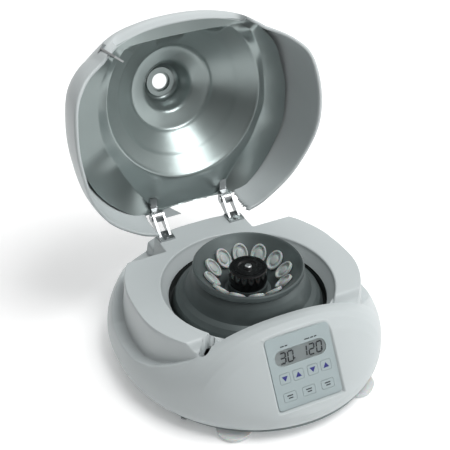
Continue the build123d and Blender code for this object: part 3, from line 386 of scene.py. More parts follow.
REAR_HALF, REAR_LOW, REAR_HIGH, REAR_FACE = 42.2, -57.2, -24.8, 109.4  # recess of the rear panel
CREST_Y = (-116.5, -113, -106, -98, -90, -84, -77, -70, -62, -54, 118)
CREST = (1.5, 5, 15, 29, 42.5, 52, 59, 59.5, 57.5, 54, 54)
STEP_Y = (-54.3, -41, -28, -10, 15, 40, 62, 98, 117)
STEP = (-12.5, -22, -29, -34, -35.5, -34, -27, -16.5, -14)


def half_width(y, power=2.5):
    """Half width of the body's outline: in front an ellipse, where the squares of x and y over
    their reaches add up to 1, and behind the same with a higher power."""
    y = np.asarray(y, float)
    fore = np.sqrt(np.clip(1 - (y / BODY_FRONT) ** 2, 0, 1))
    aft = np.clip(1 - (np.abs(y) / BODY_REAR) ** power, 0, 1) ** (1 / power)
    return BODY_HALF * np.where(y < 0, fore, aft)


def outline_radius(angle, width=BODY_HALF, front=BODY_FRONT, rear=BODY_REAR, power=2.5):
    """Distance from the axis to such an outline along each angle."""
    c, s = np.abs(np.cos(angle)), np.sin(angle)
    fore = 1 / np.sqrt((c / width) ** 2 + (s / front) ** 2)
    aft = ((c / width) ** power + (np.abs(s) / rear) ** power) ** (-1 / power)
    return np.where(s < 0, fore, aft)


def deck_outline(angle, half):
    """Distance from the axis to the deck's outline along each angle."""
    return outline_radius(angle, half, DECK_FRONT, DECK_REAR)


def crown(x, y):
    """Height of the arched body: each section is a superellipse, where the powers of x over the
    half width and of the height over the rise add up to 1, standing on the waist."""
    edge = np.maximum(half_width(y), 1e-3)
    rise = np.interp(y, CREST_Y, CREST)
    arch = np.clip(1 - (np.abs(x) / edge) ** 2.3, 0, 1) ** (1 / 2.3)
    return WAIST + rise * arch


def softer_low(a, b, width):
    """Lower of two heights, mixed over a width where they are nearly level."""
    gap = np.clip(0.5 + 0.5 * (b - a) / width, 0, 1)
    return b * (1 - gap) + a * gap - width * gap * (1 - gap)


def body_height(x, y, settings):
    """Top of the housing: crown in front, deck and recessed step behind, hinge pockets and slot."""
    arch = crown(x, y)
    angle = np.arctan2(y, x)
    radius = np.hypot(x, y)
    deck_edge = deck_outline(angle, settings.deck_half_width)
    step = np.interp(y, STEP_Y, STEP)
    shelf = softer_low(arch, step, 2.0)
    deck = -0.9 * np.clip(-45 - y, 0, None) * ease(-45, -52, y)  # it rolls off in front
    inside = ease(deck_edge + 0.8, deck_edge - 1.6, radius)
    rear = shelf + (np.maximum(deck, shelf) - shelf) * inside
    height = rear + (arch - rear) * ease(-53.4, -55.2, y)
    reach = POCKET_R ** 2 - (y - HINGE_Y) ** 2
    pocket = HINGE_Z - np.sqrt(np.clip(reach, 0, None))
    across = np.abs(x)
    held = ease(POCKET_IN, POCKET_IN + 1.4, across) * ease(POCKET_OUT, POCKET_OUT - 1.4, across) * (reach > 0)
    height = height + (np.minimum(height, pocket) - height) * held
    return height - SLOT_DEPTH * in_slot(x, y)


def slot_reach(x, y):
    """Distance from the middle line of the latch slot, and the offset from it."""
    x, y = x - SLOT_X, y - SLOT_Y
    u = x * SLOT_ALONG[0] + y * SLOT_ALONG[1]
    v = x * SLOT_SIDE[0] + y * SLOT_SIDE[1]
    over = np.sign(u) * np.clip(np.abs(u) - SLOT_LONG, 0, None)
    return np.hypot(over, v), over[..., None] * SLOT_ALONG + v[..., None] * SLOT_SIDE


def in_slot(x, y):
    """Whether points are inside the rim of the latch slot."""
    return slot_reach(x, y)[0] < SLOT_R - 0.05


def panel_frame():
    """Origin, across, up and outward directions of the sloped panel, relative to the deck."""
    up = np.array([0, 29.0, 50.0])
    up = up / np.linalg.norm(up)
    across = np.array([1.0, 0, 0])
    return np.array([0, -94.0, -19.0]), across, up, np.cross(across, up)


def edge_slot(points):
    """Points close to the rim of the latch slot moved onto it, so that its edge runs clean."""
    reach, offset = slot_reach(points[..., 0], points[..., 1])
    reach = np.maximum(reach, 1e-6)
    near = (np.abs(reach - SLOT_R + 0.1) < 0.62) & (points[..., 1] > SLOT_FRONT)
    push = np.where(near, (SLOT_R - reach) / reach, 0.0)[..., None]
    out = points.copy()
    out[..., :2] += push * offset
    return out


def press_panel(points, settings):
    """Points under the control panel pressed flat onto its seat, with rounded walls."""
    origin, across, up, out = panel_frame()
    rel = points - origin
    u, v, w = rel @ across, rel @ up, rel @ out
    gap = settings.panel_gap
    edge = np.maximum(np.abs(u) - PANEL_HALF_WIDTH, np.abs(v) - PANEL_HALF_HEIGHT)
    near = ease(gap + 1.4, gap, edge) * (v > -40)
    return points - out * ((w + 1.0) * near)[..., None]  # the seat is 1 mm under the face


def spread(knots, counts):
    """Steps from 0 to 1 with a count of rows between each pair of knots."""
    parts = [np.linspace(a, b, n, endpoint=False) for a, b, n in zip(knots, knots[1:], counts)]
    return np.append(np.concatenate(parts), knots[-1])


def housing_points(settings):
    """Rows from the floor of the opening over the deck and the crown to the joint with the pan."""
    columns = settings.columns
    angle = np.linspace(0, 2 * math.pi, columns, endpoint=False)
    c, s = np.cos(angle), np.sin(angle)
    chord = np.where(s < 0, WALL_Y / np.maximum(-s, 1e-6), 1e6)
    floor = np.minimum(FLOOR_R, chord)
    rim = np.minimum(RIM_R, chord)
    outer = outline_radius(angle)
    deck_edge = np.clip(deck_outline(angle, settings.deck_half_width), rim + 3, outer - 5)
    rows = []
    for t in (0.0, 0.5, 0.85):
        r = floor + (rim - floor) * t
        rows.append((r, -12 + 10 * t + 0 * r))
    lip = rim + settings.rim_round
    top_at_lip = body_height(lip * c, lip * s, settings)
    for t in np.linspace(0, 1, 7):
        turn = t * math.pi / 2
        r = lip - settings.rim_round * math.cos(turn)
        rows.append((r, top_at_lip - settings.rim_round * (1 - math.sin(turn))))
    inner = lip + 0.2
    for t in spread([0, 0.7, 1], [34, 18]):
        r = inner + (deck_edge + 2.5 - inner) * t
        rows.append((r, None))
    start = deck_edge + 3.0
    waist = outer - 0.02
    for t in np.sin(np.linspace(0, 1, 60)[1:] * math.pi / 2):
        r = start + (waist - start) * t
        rows.append((r, None))
    grid = []
    for r, z in rows:
        row = edge_slot(np.stack([r * c, r * s, 0 * r], -1))
        row[:, 2] = body_height(row[:, 0], row[:, 1], settings) if z is None else z
        grid.append(row)
    last = grid[-1][:, 2]
    for t in (0.35, 0.7, 1.0):
        grid.append(np.stack([outer * c, outer * s, last + (PAN_JOINT - last) * t], -1))
    for turn in np.linspace(0, math.asin(TUCK_DEPTH / TUCK_R), 8)[1:]:
        r = outer - TUCK_R * (1 - math.cos(turn))
        grid.append(np.stack([r * c, r * s, PAN_JOINT - TUCK_R * math.sin(turn) + 0 * r], -1))
    return press_rear(press_panel(np.array(grid), settings))


def press_rear(points):
    """Points behind the recess of the rear panel moved in to its face, over a 1 mm border."""
    x, y, z = points[..., 0], points[..., 1], points[..., 2]
    held = ease(REAR_HALF + 1, REAR_HALF, np.abs(x)) * ease(REAR_LOW - 1, REAR_LOW, z)
    held = held * ease(REAR_HIGH + 1, REAR_HIGH, z) * (y > 60)
    out = points.copy()
    out[..., 1] = y - np.clip(y - REAR_FACE, 0, None) * held
    return out


def flow(x, xs, ys):
    """Natural cubic curve through points: piecewise cubics whose slope and curvature run on."""
    xs, ys, x = (np.asarray(v, float) for v in (xs, ys, x))
    h = np.diff(xs)
    n = len(xs)
    system = np.eye(n)
    right = np.zeros(n)
    for i in range(1, n - 1):
        system[i, i - 1:i + 2] = h[i - 1], 2 * (h[i - 1] + h[i]), h[i]
        right[i] = 6 * ((ys[i + 1] - ys[i]) / h[i] - (ys[i] - ys[i - 1]) / h[i - 1])
    curl = np.linalg.solve(system, right)
    i = np.clip(np.searchsorted(xs, x, side="right") - 1, 0, n - 2)
    a, b = xs[i + 1] - x, x - xs[i]
    curve = (curl[i] * a ** 3 + curl[i + 1] * b ** 3) / (6 * h[i])
    return curve + (ys[i] / h[i] - curl[i] * h[i] / 6) * a + (ys[i + 1] / h[i] - curl[i + 1] * h[i] / 6) * b


# Form of the lid when shut, in millimetres above the deck

LID_Y = (-65, -61, -56, -48, -38, -25, -8, 12, 35, 58, 78, 94, 106, 113, 117)
LID_HALF = (60, 68.5, 77, 88.5, 98, 106.3, 111, 112.8, 110.8, 104.9, 94.8, 80.9, 63.3, 45.2, 24)
LID_BASE_Y = (-65, -54, -41, -28, -10, 15, 40, 62, 98, 117)
LID_BASE = (-9, -13, -20.5, -27.5, -32.5, -34, -32.5, -25.5, -15, -12.5)
LID_CREST = (26, 36, 43, 49, 52.8, 55.8, 58.2, 59.1, 58.2, 54.3, 46.5, 36, 22, 8, -6)
EDGE = ((0, 104.5, 20), (30, 104.5, 18), (49, 103, 14), (64, 94, 14), (78, 81, 15), (89, 64, 13), (96, 46, 10),
        (99, 28, 9), (100, 10, 8), (97, -6, 7), (93, -22, 5), (86, -37, 2), (77, -50, -3), (69, -58, -9))
CREASE = ((0, 103.5, 20.5), (36, 99, 20), (42, 89, 19), (49, 79, 17), (55, 69, 14), (61, 59, 11), (66, 49, 9),
          (71, 40, 9), (75, 30, 7.5), (77.5, 20, 7), (78, 11, 6.5), (78, 2, 6), (77, -12, 4), (74, -26, 1.5),
          (69, -40, -2), (64, -50, -6))
BOWL = ((7.0, 55.6), (13.5, 55.2), (16.5, 53.0), (19.6, 43.0), (21.7, 38.0), (23.6, 36.2), (33.0, 32.6), (37.0, 31.4),
        (39.2, 28.6), (54.0, 16.2), (56.4, 13.6), (68.8, 4.0), (71.1, 1.6))
SAG_FROM, SAG_TO = -20, -65  # the lid's front draws back between these
LINER_WALL = 51.0  # the liner's flat front wall
FRONT_LINE = 60.6  # the liner's front lip, before it draws back
EAR_IN, EAR_TOP, EAR_BACK = 45, 23, 90  # the cut between the lid's ears
WINDOW_R = 9.2


def swing(points):
    """Points of the shut lid in its open place, turned back about the hinge axis."""
    points = np.asarray(points, float)
    c, s = math.cos(math.radians(OPEN_ANGLE)), math.sin(math.radians(OPEN_ANGLE))
    y, z = points[..., 1] - HINGE_Y, points[..., 2] - HINGE_Z
    return np.stack([points[..., 0], y * c + z * s + HINGE_Y, -y * s + z * c + HINGE_Z], -1)


def sag(x):
    """How far the lid's front edge draws back away from the middle: a power of the distance from it."""
    return 7.0 * (np.minimum(np.abs(x), 75) / 62.0) ** 2.2 - 1.5


def lip_arch(x):
    """Height of the lid's front lip, a little above the crown of the housing."""
    return crown(x, -57.0 + 0 * x) + 1.6


def lid_points(settings):
    """Rows across the shut dome from the front lip to the rear, each a raised superellipse."""
    turn = np.linspace(0, math.pi, settings.across)
    wide = np.sign(np.cos(turn)) * np.abs(np.cos(turn)) ** 0.8
    tall = np.sin(turn) ** 0.8
    rows = []
    lip_x = 57 * wide
    lip = np.stack([lip_x, -61.5 + 2.5 * np.abs(wide) ** 3, lip_arch(lip_x)], -1)
    nose = LID_BASE[0] + (LID_CREST[0] - LID_BASE[0]) * tall
    first = np.stack([LID_HALF[0] * wide, 0 * wide + LID_Y[0], nose], -1)
    for t in np.linspace(0, 1, 12, endpoint=False):
        bulge = 2.4 * math.sin(math.pi * min(1.0, t * 1.15)) * (1 - np.abs(wide) ** 4)
        row = lip * (1 - t) + first * t
        row[:, 1] += sag(row[:, 0]) - bulge
        rows.append(row)
    for y in LID_Y[0] + (LID_Y[-1] - LID_Y[0]) * ease(-0.12, 1.1, np.linspace(0, 1, settings.along)):
        half, crest = flow(y, LID_Y, LID_HALF), flow(y, LID_Y, LID_CREST)
        base = flow(y, LID_BASE_Y, LID_BASE)
        drawn = y + sag(half * wide) * ease(SAG_FROM, SAG_TO, y)
        rows.append(np.stack([half * wide, drawn, base + (crest - base) * tall], -1))
    return np.array(rows)


def cut_away(points, faces, inside, snap):
    """Faces that aren't wholly inside a cut, their inner corners moved to its edge."""
    held = inside(points)
    faces = faces[~held[faces].all(1)]
    points = points.copy()
    points[held] = snap(points[held])
    return points, faces


def in_ear_cut(p):
    """Whether points of the shut dome are between its ears."""
    return (np.abs(p[:, 0]) < EAR_IN) & (p[:, 1] > EAR_BACK) & (p[:, 2] < EAR_TOP)


def in_window(p):
    """Whether points of the shut dome are over the window."""
    return (np.hypot(p[:, 0], p[:, 1]) < WINDOW_R) & (p[:, 2] > 40)


def ear_snap(p):
    """Points between the lid's ears moved to the nearest edge of the cut."""
    sides = np.stack([EAR_IN - np.abs(p[:, 0]), EAR_TOP - p[:, 2], p[:, 1] - EAR_BACK], 1)
    nearest = sides.argmin(1)
    out = p.copy()
    out[nearest == 0, 0] = np.where(p[nearest == 0, 0] < 0, -EAR_IN, EAR_IN)
    out[nearest == 1, 2] = EAR_TOP
    out[nearest == 2, 1] = EAR_BACK
    return out


def window_snap(p):
    """Points over the window moved out to its rim."""
    out = p.copy()
    reach = np.maximum(np.hypot(p[:, 0], p[:, 1]), 1e-6)
    out[:, :2] = p[:, :2] / reach[:, None] * WINDOW_R
    return out


def around(table, angle):
    """Radius and height at each angle of a closed curve through half an outline and its mirror image."""
    half = np.array(table, float)
    half[:, 1] += sag(half[:, 0]) * ease(SAG_FROM, SAG_TO, half[:, 1])
    knots = np.vstack([half[:0:-1] * [-1, 1, 1], half])
    along = np.append(0, np.cumsum(np.linalg.norm(np.diff(knots, axis=0), axis=1)))
    t = np.linspace(0, along[-1], 1200)
    x, y, z = (flow(t, along, knots[:, i]) for i in range(3))
    bearing = np.mod(np.arctan2(-x, y), 2 * math.pi)
    bearing = np.where(bearing > math.pi, bearing - 2 * math.pi, bearing)
    order = np.argsort(bearing)
    at = np.arctan2(-np.cos(angle), np.sin(angle))
    return np.interp(at, bearing[order], np.hypot(x, y)[order]), np.interp(at, bearing[order], z[order])


def liner_points(settings):
    """Rows from the window down the stepped bowl, over the creased flange to the shell, with an
    arched front lip. Rows that would pass the flat front wall run down it instead."""
    angle = np.linspace(-math.pi, math.pi, settings.columns, endpoint=False)
    c, s = np.cos(angle), np.sin(angle)
    wall = np.where(s < 0, LINER_WALL / np.maximum(-s, 1e-6), 1e6)
    crease_r, crease_z = around(CREASE, angle)
    edge_r, edge_z = around(EDGE, angle)
    past_wall = wall * 1.03
    front = ease(1.12, 0.94, past_wall / crease_r)
    lip_end = 80 + 0 * angle
    for _ in range(40):
        reach = (FRONT_LINE - sag(lip_end * c)) / np.maximum(-s, 1e-6)
        lip_end = 0.5 * lip_end + 0.5 * np.minimum(reach, 300)
    profile = rounded(BOWL, 1.8, 5)
    lip_z = lip_arch(np.clip(np.minimum(wall, 70) * c, -70, 70))
    wall_z = np.interp(wall, profile[:, 0], profile[:, 1])
    rows = []
    for r, z in profile:
        down = np.clip((r - wall) / np.maximum(profile[-1, 0] - wall, 1.0), 0, 1) * 0.5
        rows.append((np.minimum(r, wall), np.where(r < wall, z, wall_z + (lip_z - wall_z) * down)))
    a_r, a_z = rows[-1]
    end_z = lip_arch(np.clip(lip_end * c, -70, 70)) + 0.3
    reach_r, reach_z = np.minimum(edge_r, lip_end), edge_z + (end_z - edge_z) * front
    mid_r = np.minimum(np.minimum(crease_r, past_wall), reach_r - 0.5)
    mid_z = crease_z + (lip_z - crease_z) * front
    for u, v in ((0.04, 0.02), (0.12, 0.1), (0.3, 0.3), (0.6, 0.62), (0.85, 0.88), (0.96, 0.98), (1.0, 1.0)):
        rows.append((a_r + (mid_r - a_r) * u, a_z + (mid_z - a_z) * v))
    for t in (0.03, 0.08, 0.3, 0.6, 0.85, 1.0):
        rows.append((mid_r + (reach_r - mid_r) * t, mid_z + (reach_z - mid_z) * t))
    return np.array([np.stack([r * c, r * s, z + 0 * r], -1) for r, z in rows])


def lift(points):
    """Points relative to the deck as points above the bench."""
    return np.asarray(points, float) + np.array([0, 0, DECK])


# Settings

class HousingSettings(bpy.types.PropertyGroup):
    """Sizes of the housing surface."""
    columns: bpy.props.IntProperty(name="Columns", description="Columns round the axis", default=900, min=90)
    deck_half_width: bpy.props.FloatProperty(
        name="Deck half width", description="Half width of the raised deck in mm", default=99.0, min=90.0)
    rim_round: bpy.props.FloatProperty(
        name="Rim round", description="Radius of the opening's rim in mm", default=1.6, min=0.2)
    panel_gap: bpy.props.FloatProperty(
        name="Panel gap", description="Gap round the control panel in mm", default=0.3, min=0.0)


class LidSettings(bpy.types.PropertyGroup):
    """Sizes of the lid's surfaces."""
    along: bpy.props.IntProperty(name="Along", description="Rows from front to rear", default=130, min=20)
    across: bpy.props.IntProperty(name="Across", description="Points across a row", default=181, min=21)
    columns: bpy.props.IntProperty(name="Columns", description="Columns round the liner", default=360, min=60)
    shell_wall: bpy.props.FloatProperty(name="Shell wall", description="Wall of the shell in mm", default=2.6, min=0.5)


class TubeSettings(bpy.types.PropertyGroup):
    """Sizes of the sample tubes."""
    count: bpy.props.IntProperty(name="Count", description="Number of tubes", default=12, min=1)
    cap_radius: bpy.props.FloatProperty(
        name="Cap radius", description="Half the width of a tube's cap in mm", default=6.6, min=1.0)


class PanelSettings(bpy.types.PropertyGroup):
    """Figures and prints of the control panel."""
    left_figures: bpy.props.StringProperty(name="Left figures", description="Figures shown at the left", default="30")
    right_figures: bpy.props.StringProperty(
        name="Right figures", description="Figures shown at the right", default="120")
    figure_height: bpy.props.FloatProperty(
        name="Figure height", description="Height of the figures in mm", default=8.2, min=1.0)


class StageSettings(bpy.types.PropertyGroup):
    """Camera and light."""
    azimuth: bpy.props.FloatProperty(
        name="Azimuth", description="Camera azimuth", default=math.radians(-27.40), subtype="ANGLE")
    elevation: bpy.props.FloatProperty(
        name="Elevation", description="Camera elevation", default=math.radians(34.63), subtype="ANGLE")
    roll: bpy.props.FloatProperty(
        name="Roll", description="Camera roll", default=math.radians(0.39), subtype="ANGLE")
    distance: bpy.props.FloatProperty(
        name="Distance", description="Camera distance", default=1.0317, unit="LENGTH")
    focal: bpy.props.FloatProperty(name="Focal length", description="Focal length in mm", default=99.2)


# Operators

class CENTRIFUGE_OT_finishes(bpy.types.Operator):
    """Gives every carried-over node its finish"""
    bl_idname = "centrifuge.finishes"
    bl_label = "Finishes"

    def execute(self, context):
        for entry in STATE["frame"]["record"]["subparts"]:
            node = STATE["frame"]["nodes"][entry["node"]]
            material = finish_of(entry["material_slot"])
            if not node.material_slots:
                node.data.materials.append(material)
            if entry["node"] == "window_seal":
                material = finish_of("liner_metal")
            for place in node.material_slots:
                place.material = material
        return {"FINISHED"}


class CENTRIFUGE_OT_housing(bpy.types.Operator):
    """Builds the smooth upper housing"""
    bl_idname = "centrifuge.housing"
    bl_label = "Housing"

    def execute(self, context):
        settings = context.scene.centrifuge_housing
        grid = housing_points(settings)
        rows, columns = grid.shape[:2]
        points, faces = grid.reshape(-1, 3), grid_faces(rows, columns, True)
        sunk = in_slot(points[:, 0], points[:, 1]) & (points[:, 1] > SLOT_FRONT)
        faces = faces[~sunk[faces].all(1)]
        piece = mesh_object("housing_surface", lift(points), faces, finish_of("housing_plastic"), "base")
        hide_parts("upper_housing")
        return {"FINISHED"}


class CENTRIFUGE_OT_lid(bpy.types.Operator):
    """Builds the smooth dome of the lid and its stepped liner"""
    bl_idname = "centrifuge.lid"
    bl_label = "Lid"

    def execute(self, context):
        settings = context.scene.centrifuge_lid
        grid = lid_points(settings)
        faces = grid_faces(grid.shape[0], grid.shape[1], False)
        points, faces = cut_away(grid.reshape(-1, 3), faces, in_ear_cut, ear_snap)
        points, faces = cut_away(points, faces, in_window, window_snap)
        self.piece("lid_dome", points, faces, "housing_plastic", "lid_shell", settings.shell_wall)
        grid = liner_points(settings)
        faces = grid_faces(grid.shape[0], grid.shape[1], True)
        self.piece("lid_lining", grid.reshape(-1, 3), faces, "liner_metal", "lid_liner")
        return {"FINISHED"}

    def piece(self, name, points, faces, slot, node, wall=0.0):
        """Surface of the lid with a wall, in its open place."""
        made = mesh_object(name, lift(swing(points)), faces, finish_of(slot), "lid")
        if wall:
            solid = made.modifiers.new("Wall", "SOLIDIFY")
            solid.thickness = wall * MM
            solid.offset = 1.0
        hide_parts(node)


MOUTH_R, MOUTH_Z, CAP_STAND = 31.5, 6.5, 0.8  # the tubes' mouths, and how far the caps stand off
CAP_OUT, CAP_IN = 1.42, 1.28  # how much longer a cap is outwards and inwards than wide


def tube_axes(index, count):
    """Mouth centre, outward, side and axis directions of one tube, at 45 degrees in the rotor."""
    angle = 2 * math.pi * (index + 0.5) / count
    outward = np.array([math.cos(angle), math.sin(angle), 0])
    axis = (np.array([0, 0, 1]) - outward) / math.sqrt(2)
    across = (outward + np.array([0, 0, 1])) / math.sqrt(2)
    mouth = outward * MOUTH_R + np.array([0, 0, DECK + MOUTH_Z]) + axis * CAP_STAND
    return mouth, across, np.cross(axis, across), axis


class CENTRIFUGE_OT_tubes(bpy.types.Operator):
    """Builds the capped sample tubes"""
    bl_idname = "centrifuge.tubes"
    bl_label = "Tubes"

    def execute(self, context):
        settings = context.scene.centrifuge_tubes
        r = settings.cap_radius
        profile = rounded([
            (0.0, -35.4), (2.0, -35.2), (5.2, -19.5), (5.2, 0.0), (r, 0.0), (r, 2.6), (r - 1.3, 2.6), (r - 1.6, 0.9),
            (r - 3.2, 0.6), (r - 3.6, 1.9), (1.2, 2.1), (0.0, 2.0),
        ], 0.55)
        for index in range(settings.count):
            points, faces = turned(profile, 48)
            cap = points[:, 2] > -0.01
            points[:, 0] *= np.where(cap, np.where(points[:, 0] > 0, CAP_OUT, CAP_IN), 1.0)
            mouth, across, side, axis = tube_axes(index, settings.count)
            placed = mouth + points @ np.array([across, side, axis])
            name = f"tube_{index + 1:02d}"
            piece = mesh_object(f"sample_{name}", placed, faces, finish_of("tube_plastic"), "rotor")
            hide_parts(name)
        return {"FINISHED"}


def rounded_plate(corners, radius, low, high):
    """Plate on a rounded outline between two heights, with eased edges."""
    ring = []
    count = len(corners)
    for i, corner in enumerate(corners):
        before, after = np.array(corners[i - 1], float), np.array(corners[(i + 1) % count], float)
        c = np.array(corner, float)
        u = (before - c) / np.linalg.norm(before - c)
        v = (after - c) / np.linalg.norm(after - c)
        reach = min(radius, np.linalg.norm(before - c) * 0.49, np.linalg.norm(after - c) * 0.49)
        ring += bend(c + u * reach, c, c + v * reach, 4)
    ring = np.array(ring)
    centre = ring.mean(0)
    ease_by = min(0.15, (high - low) * 0.4)
    inner = centre + (ring - centre) * (1 - ease_by / max(np.abs(ring - centre).max(), 1e-6))
    layers = [(ring, low), (ring, high - ease_by), (inner, high)]
    points = np.vstack([np.column_stack([loop, np.full(len(loop), z)]) for loop, z in layers])
    n = len(ring)
    faces = [list(f) for f in grid_faces(3, n, True)]
    faces.append(list(range(2 * n, 3 * n)))
    faces.append(list(range(n))[::-1])
    return points, faces


SEGMENTS = {
    "0": "abcdef", "1": "bc", "2": "abged", "3": "abgcd", "4": "fgbc", "5": "afgcd", "6": "afgedc", "7": "abc",
    "8": "abcdefg", "9": "abcdfg",
}


SLANT = 0.12


def bars_of(figures, height, left, middle):
    """Outlines of the bars of slanted seven-bar figures, their ends drawn in by a quarter of a bar."""
    width, gap, thick = height * 0.55, height * 0.28, height * 0.14
    half, side, end = height / 2, thick / 2, thick * 0.25
    plates = []
    for place, figure in enumerate(figures):
        x = left + place * (width + gap)
        bars = {
            "a": ((0, half), (width, half)), "g": ((0, 0), (width, 0)), "d": ((0, -half), (width, -half)),
            "b": ((width, 0), (width, half)), "c": ((width, -half), (width, 0)),
            "f": ((0, 0), (0, half)), "e": ((0, -half), (0, 0)),
        }
        for key in SEGMENTS[figure]:
            (x0, y0), (x1, y1) = bars[key]
            in_x, in_y = (-end, side) if y0 == y1 else (side, -end)
            low_x, high_x = x + x0 - in_x, x + x1 + in_x
            low_y, high_y = middle + y0 - in_y, middle + y1 + in_y
            plates.append([(low_x, low_y), (high_x, low_y), (high_x, high_y), (low_x, high_y)])
    return [[(px + SLANT * (py - middle), py) for px, py in plate] for plate in plates]


def panel_print(name, plates, low, high, slot, body, corner=0.1):
    """Thin plates on the control panel at heights above its face."""
    origin, across, up, out = panel_frame()
    points, faces = [], []
    for plate in plates:
        p, f = rounded_plate(plate, corner, low, high)
        faces += [[i + len(points) for i in face] for face in f]
        points += p.tolist()
    placed = lift(origin + np.array(points) @ np.array([across, up, out]))
    return mesh_object(name, placed, faces, finish_of(slot), body, smooth=False)


def block_at(x, y, width, height):
    """Corners of a rectangle about a middle."""
    return [(x - width / 2, y - height / 2), (x + width / 2, y - height / 2),
            (x + width / 2, y + height / 2), (x - width / 2, y + height / 2)]


FIGURE_LOW, FIGURE_HIGH = -0.28, -0.24  # the figures lie on the sunk display
FILM_PRINT = (0.0, 0.03)
KEY_PRINT = (0.1, 0.14)  # on keys that stand 0.1 mm proud
FIGURE_Y, ARROW_Y = 11.5, -4.5
INK_HEIGHT, WORD_GAP = 0.9, 0.8
CAPTIONS = ((-13, 20.6, (3.2, 2.4)), (11, 20.6, (4.6, 2.6, 2.2)), (-6.2, 9.0, (1.6,)), (18.5, 9.0, (1.8,)))


class CENTRIFUGE_OT_panel(bpy.types.Operator):
    """Adds the display figures, arrows and small prints"""
    bl_idname = "centrifuge.panel"
    bl_label = "Panel prints"

    def execute(self, context):
        settings = context.scene.centrifuge_panel
        height = settings.figure_height
        figures = bars_of(settings.left_figures, height, -18.0, FIGURE_Y)
        figures += bars_of(settings.right_figures, height, 1.0, FIGURE_Y)
        piece = panel_print("display_figures", figures, FIGURE_LOW, FIGURE_HIGH, "ink", "base")
        prints = []
        for x, y, words in CAPTIONS:
            total = sum(words) + WORD_GAP * (len(words) - 1)
            at = x - total / 2
            for word in words:
                prints.append(block_at(at + word / 2, y, word, INK_HEIGHT))
                at += word + WORD_GAP
        piece = panel_print("panel_captions", prints, *FILM_PRINT, "ink", "base")
        for index, x in enumerate((-18.0, -6.0, 7.0, 19.0), 1):
            flip = -1 if index % 2 else 1
            foot, tip = ARROW_Y - 1.9 * flip, ARROW_Y + 2.3 * flip
            arrow = [(x - 2.6, foot), (x + 2.6, foot), (x, tip)][::flip]
            piece = panel_print(f"arrow_{index}", [arrow], *KEY_PRINT, "navy", f"arrow_key_{index}", 0.2)
        for index, x in enumerate((-17.0, 0.0, 17.0), 1):
            words = [block_at(x, -18.4, 5.2, INK_HEIGHT), block_at(x + 0.4, -20.4, 4.0, INK_HEIGHT)]
            piece = panel_print(f"key_caption_{index}", words, *KEY_PRINT, "ink", f"function_key_{index}")
        return {"FINISHED"}


FLOOR_HALF = 4000.0
LAMPS = (
    ("key_light", (0.5, -0.5, 1.8), 1.0, 22.0),
    ("fill_light", (1.4, -0.9, 0.35), 1.1, 3.5),
    ("rear_light", (0.3, 1.3, 1.2), 1.0, 5.0),
)
LAMP_TARGET = (0, 0.02, 0.1)
SHIFT_ACROSS, SHIFT_OVER = 0.01910, 0.04777  # the picture's middle beside and above the deck's, in metres


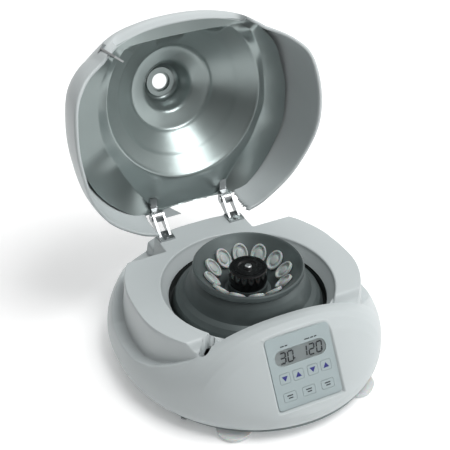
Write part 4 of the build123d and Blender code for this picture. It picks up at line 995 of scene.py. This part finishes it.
class CENTRIFUGE_OT_stage(bpy.types.Operator):
    """Sets floor, light and camera"""
    bl_idname = "centrifuge.stage"
    bl_label = "Stage"

    def execute(self, context):
        settings = context.scene.centrifuge_stage
        scene = context.scene
        corners = [(x, y, 0) for x, y in block_at(0, 0, 2 * FLOOR_HALF, 2 * FLOOR_HALF)]
        floor = mesh_object("floor", corners, [(0, 1, 2, 3)], self.paper(), None, smooth=False)
        world = bpy.data.worlds.new("Studio")
        world.use_nodes = True
        world.node_tree.nodes["Background"].inputs["Color"].default_value = (1.0, 1.0, 1.0, 1.0)
        self.shade(world.node_tree)
        scene.world = world
        for name, place, size, power in LAMPS:
            lamp = bpy.data.lights.new(name, "AREA")
            lamp.energy = power
            lamp.size = size
            holder = bpy.data.objects.new(name, lamp)
            holder.location = place
            aim = Vector(LAMP_TARGET) - Vector(place)
            holder.rotation_euler = aim.to_track_quat("-Z", "Y").to_euler()
            scene.collection.objects.link(holder)
        self.camera(scene, settings)
        scene.view_settings.view_transform = "Standard"
        return {"FINISHED"}

    def shade(self, tree):
        """Even white surround that dims towards the left."""
        place = tree.nodes.new("ShaderNodeTexCoord")
        lean = tree.nodes.new("ShaderNodeVectorMath")
        lean.operation = "DOT_PRODUCT"
        lean.inputs[1].default_value = (0.85, 0.35, 0.40)
        tree.links.new(place.outputs["Generated"], lean.inputs[0])
        level = tree.nodes.new("ShaderNodeMapRange")
        level.inputs["From Min"].default_value = -0.7
        level.inputs["From Max"].default_value = 0.5
        level.inputs["To Min"].default_value = 0.04
        level.inputs["To Max"].default_value = 0.66
        tree.links.new(lean.outputs["Value"], level.inputs["Value"])
        tree.links.new(level.outputs["Result"], tree.nodes["Background"].inputs["Strength"])

    def paper(self):
        """White studio paper."""
        f = Finish("Studio paper", "#ffffff", 0.8)
        f.set(Emission_Color=(1, 1, 1, 1), Emission_Strength=0.14)
        return f.bump(f.noise(3), 0.02, 0.2).material

    def camera(self, scene, settings):
        """Camera fitted to the photograph."""
        az, el, roll = settings.azimuth, settings.elevation, settings.roll
        back = Vector((math.sin(az) * math.cos(el), -math.cos(az) * math.cos(el), math.sin(el)))
        right = Vector((math.cos(az), math.sin(az), 0))
        up = back.cross(right)
        across = right * math.cos(roll) + up * math.sin(roll)
        over = -right * math.sin(roll) + up * math.cos(roll)
        eye = back * settings.distance - across * SHIFT_ACROSS + over * SHIFT_OVER + Vector((0, 0, DECK * MM))
        lens = bpy.data.cameras.new("camera")
        lens.lens = settings.focal
        lens.sensor_width = 36.0
        lens.clip_start = 0.01
        view = bpy.data.objects.new("camera", lens)
        turn = Matrix((across, over, back)).transposed()
        view.matrix_world = Matrix.Translation(eye) @ turn.to_4x4()
        scene.collection.objects.link(view)
        scene.camera = view


class CENTRIFUGE_PT_main(bpy.types.Panel):
    """Buttons of the add-on"""
    bl_label = "Mini Centrifuge"
    bl_idname = "CENTRIFUGE_PT_main"
    bl_space_type = "VIEW_3D"
    bl_region_type = "UI"
    bl_category = "Centrifuge"

    def draw(self, context):
        for operator in OPERATORS:
            self.layout.operator(operator.bl_idname)


SETTINGS = {
    "centrifuge_housing": HousingSettings,
    "centrifuge_lid": LidSettings,
    "centrifuge_tubes": TubeSettings,
    "centrifuge_panel": PanelSettings,
    "centrifuge_stage": StageSettings,
}
OPERATORS = (
    CENTRIFUGE_OT_finishes, CENTRIFUGE_OT_housing, CENTRIFUGE_OT_lid, CENTRIFUGE_OT_tubes, CENTRIFUGE_OT_panel,
    CENTRIFUGE_OT_stage,
)


def register():
    """Registers settings, operators and panel."""
    for cls in (*SETTINGS.values(), *OPERATORS, CENTRIFUGE_PT_main):
        bpy.utils.register_class(cls)
    for name, cls in SETTINGS.items():
        setattr(bpy.types.Scene, name, bpy.props.PointerProperty(type=cls))


def unregister():
    """Takes them away again."""
    for name in SETTINGS:
        delattr(bpy.types.Scene, name)
    for cls in (CENTRIFUGE_PT_main, *reversed(OPERATORS), *SETTINGS.values()):
        bpy.utils.unregister_class(cls)


def main():
    """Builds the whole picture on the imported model."""
    for leftover in list(bpy.data.objects):
        bpy.data.objects.remove(leftover)
    STATE["frame"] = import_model()
    register()
    for operator in OPERATORS:
        group, name = operator.bl_idname.split(".")
        getattr(getattr(bpy.ops, group), name)()
    bpy.context.view_layer.update()


if __name__ == "__main__":
    main()
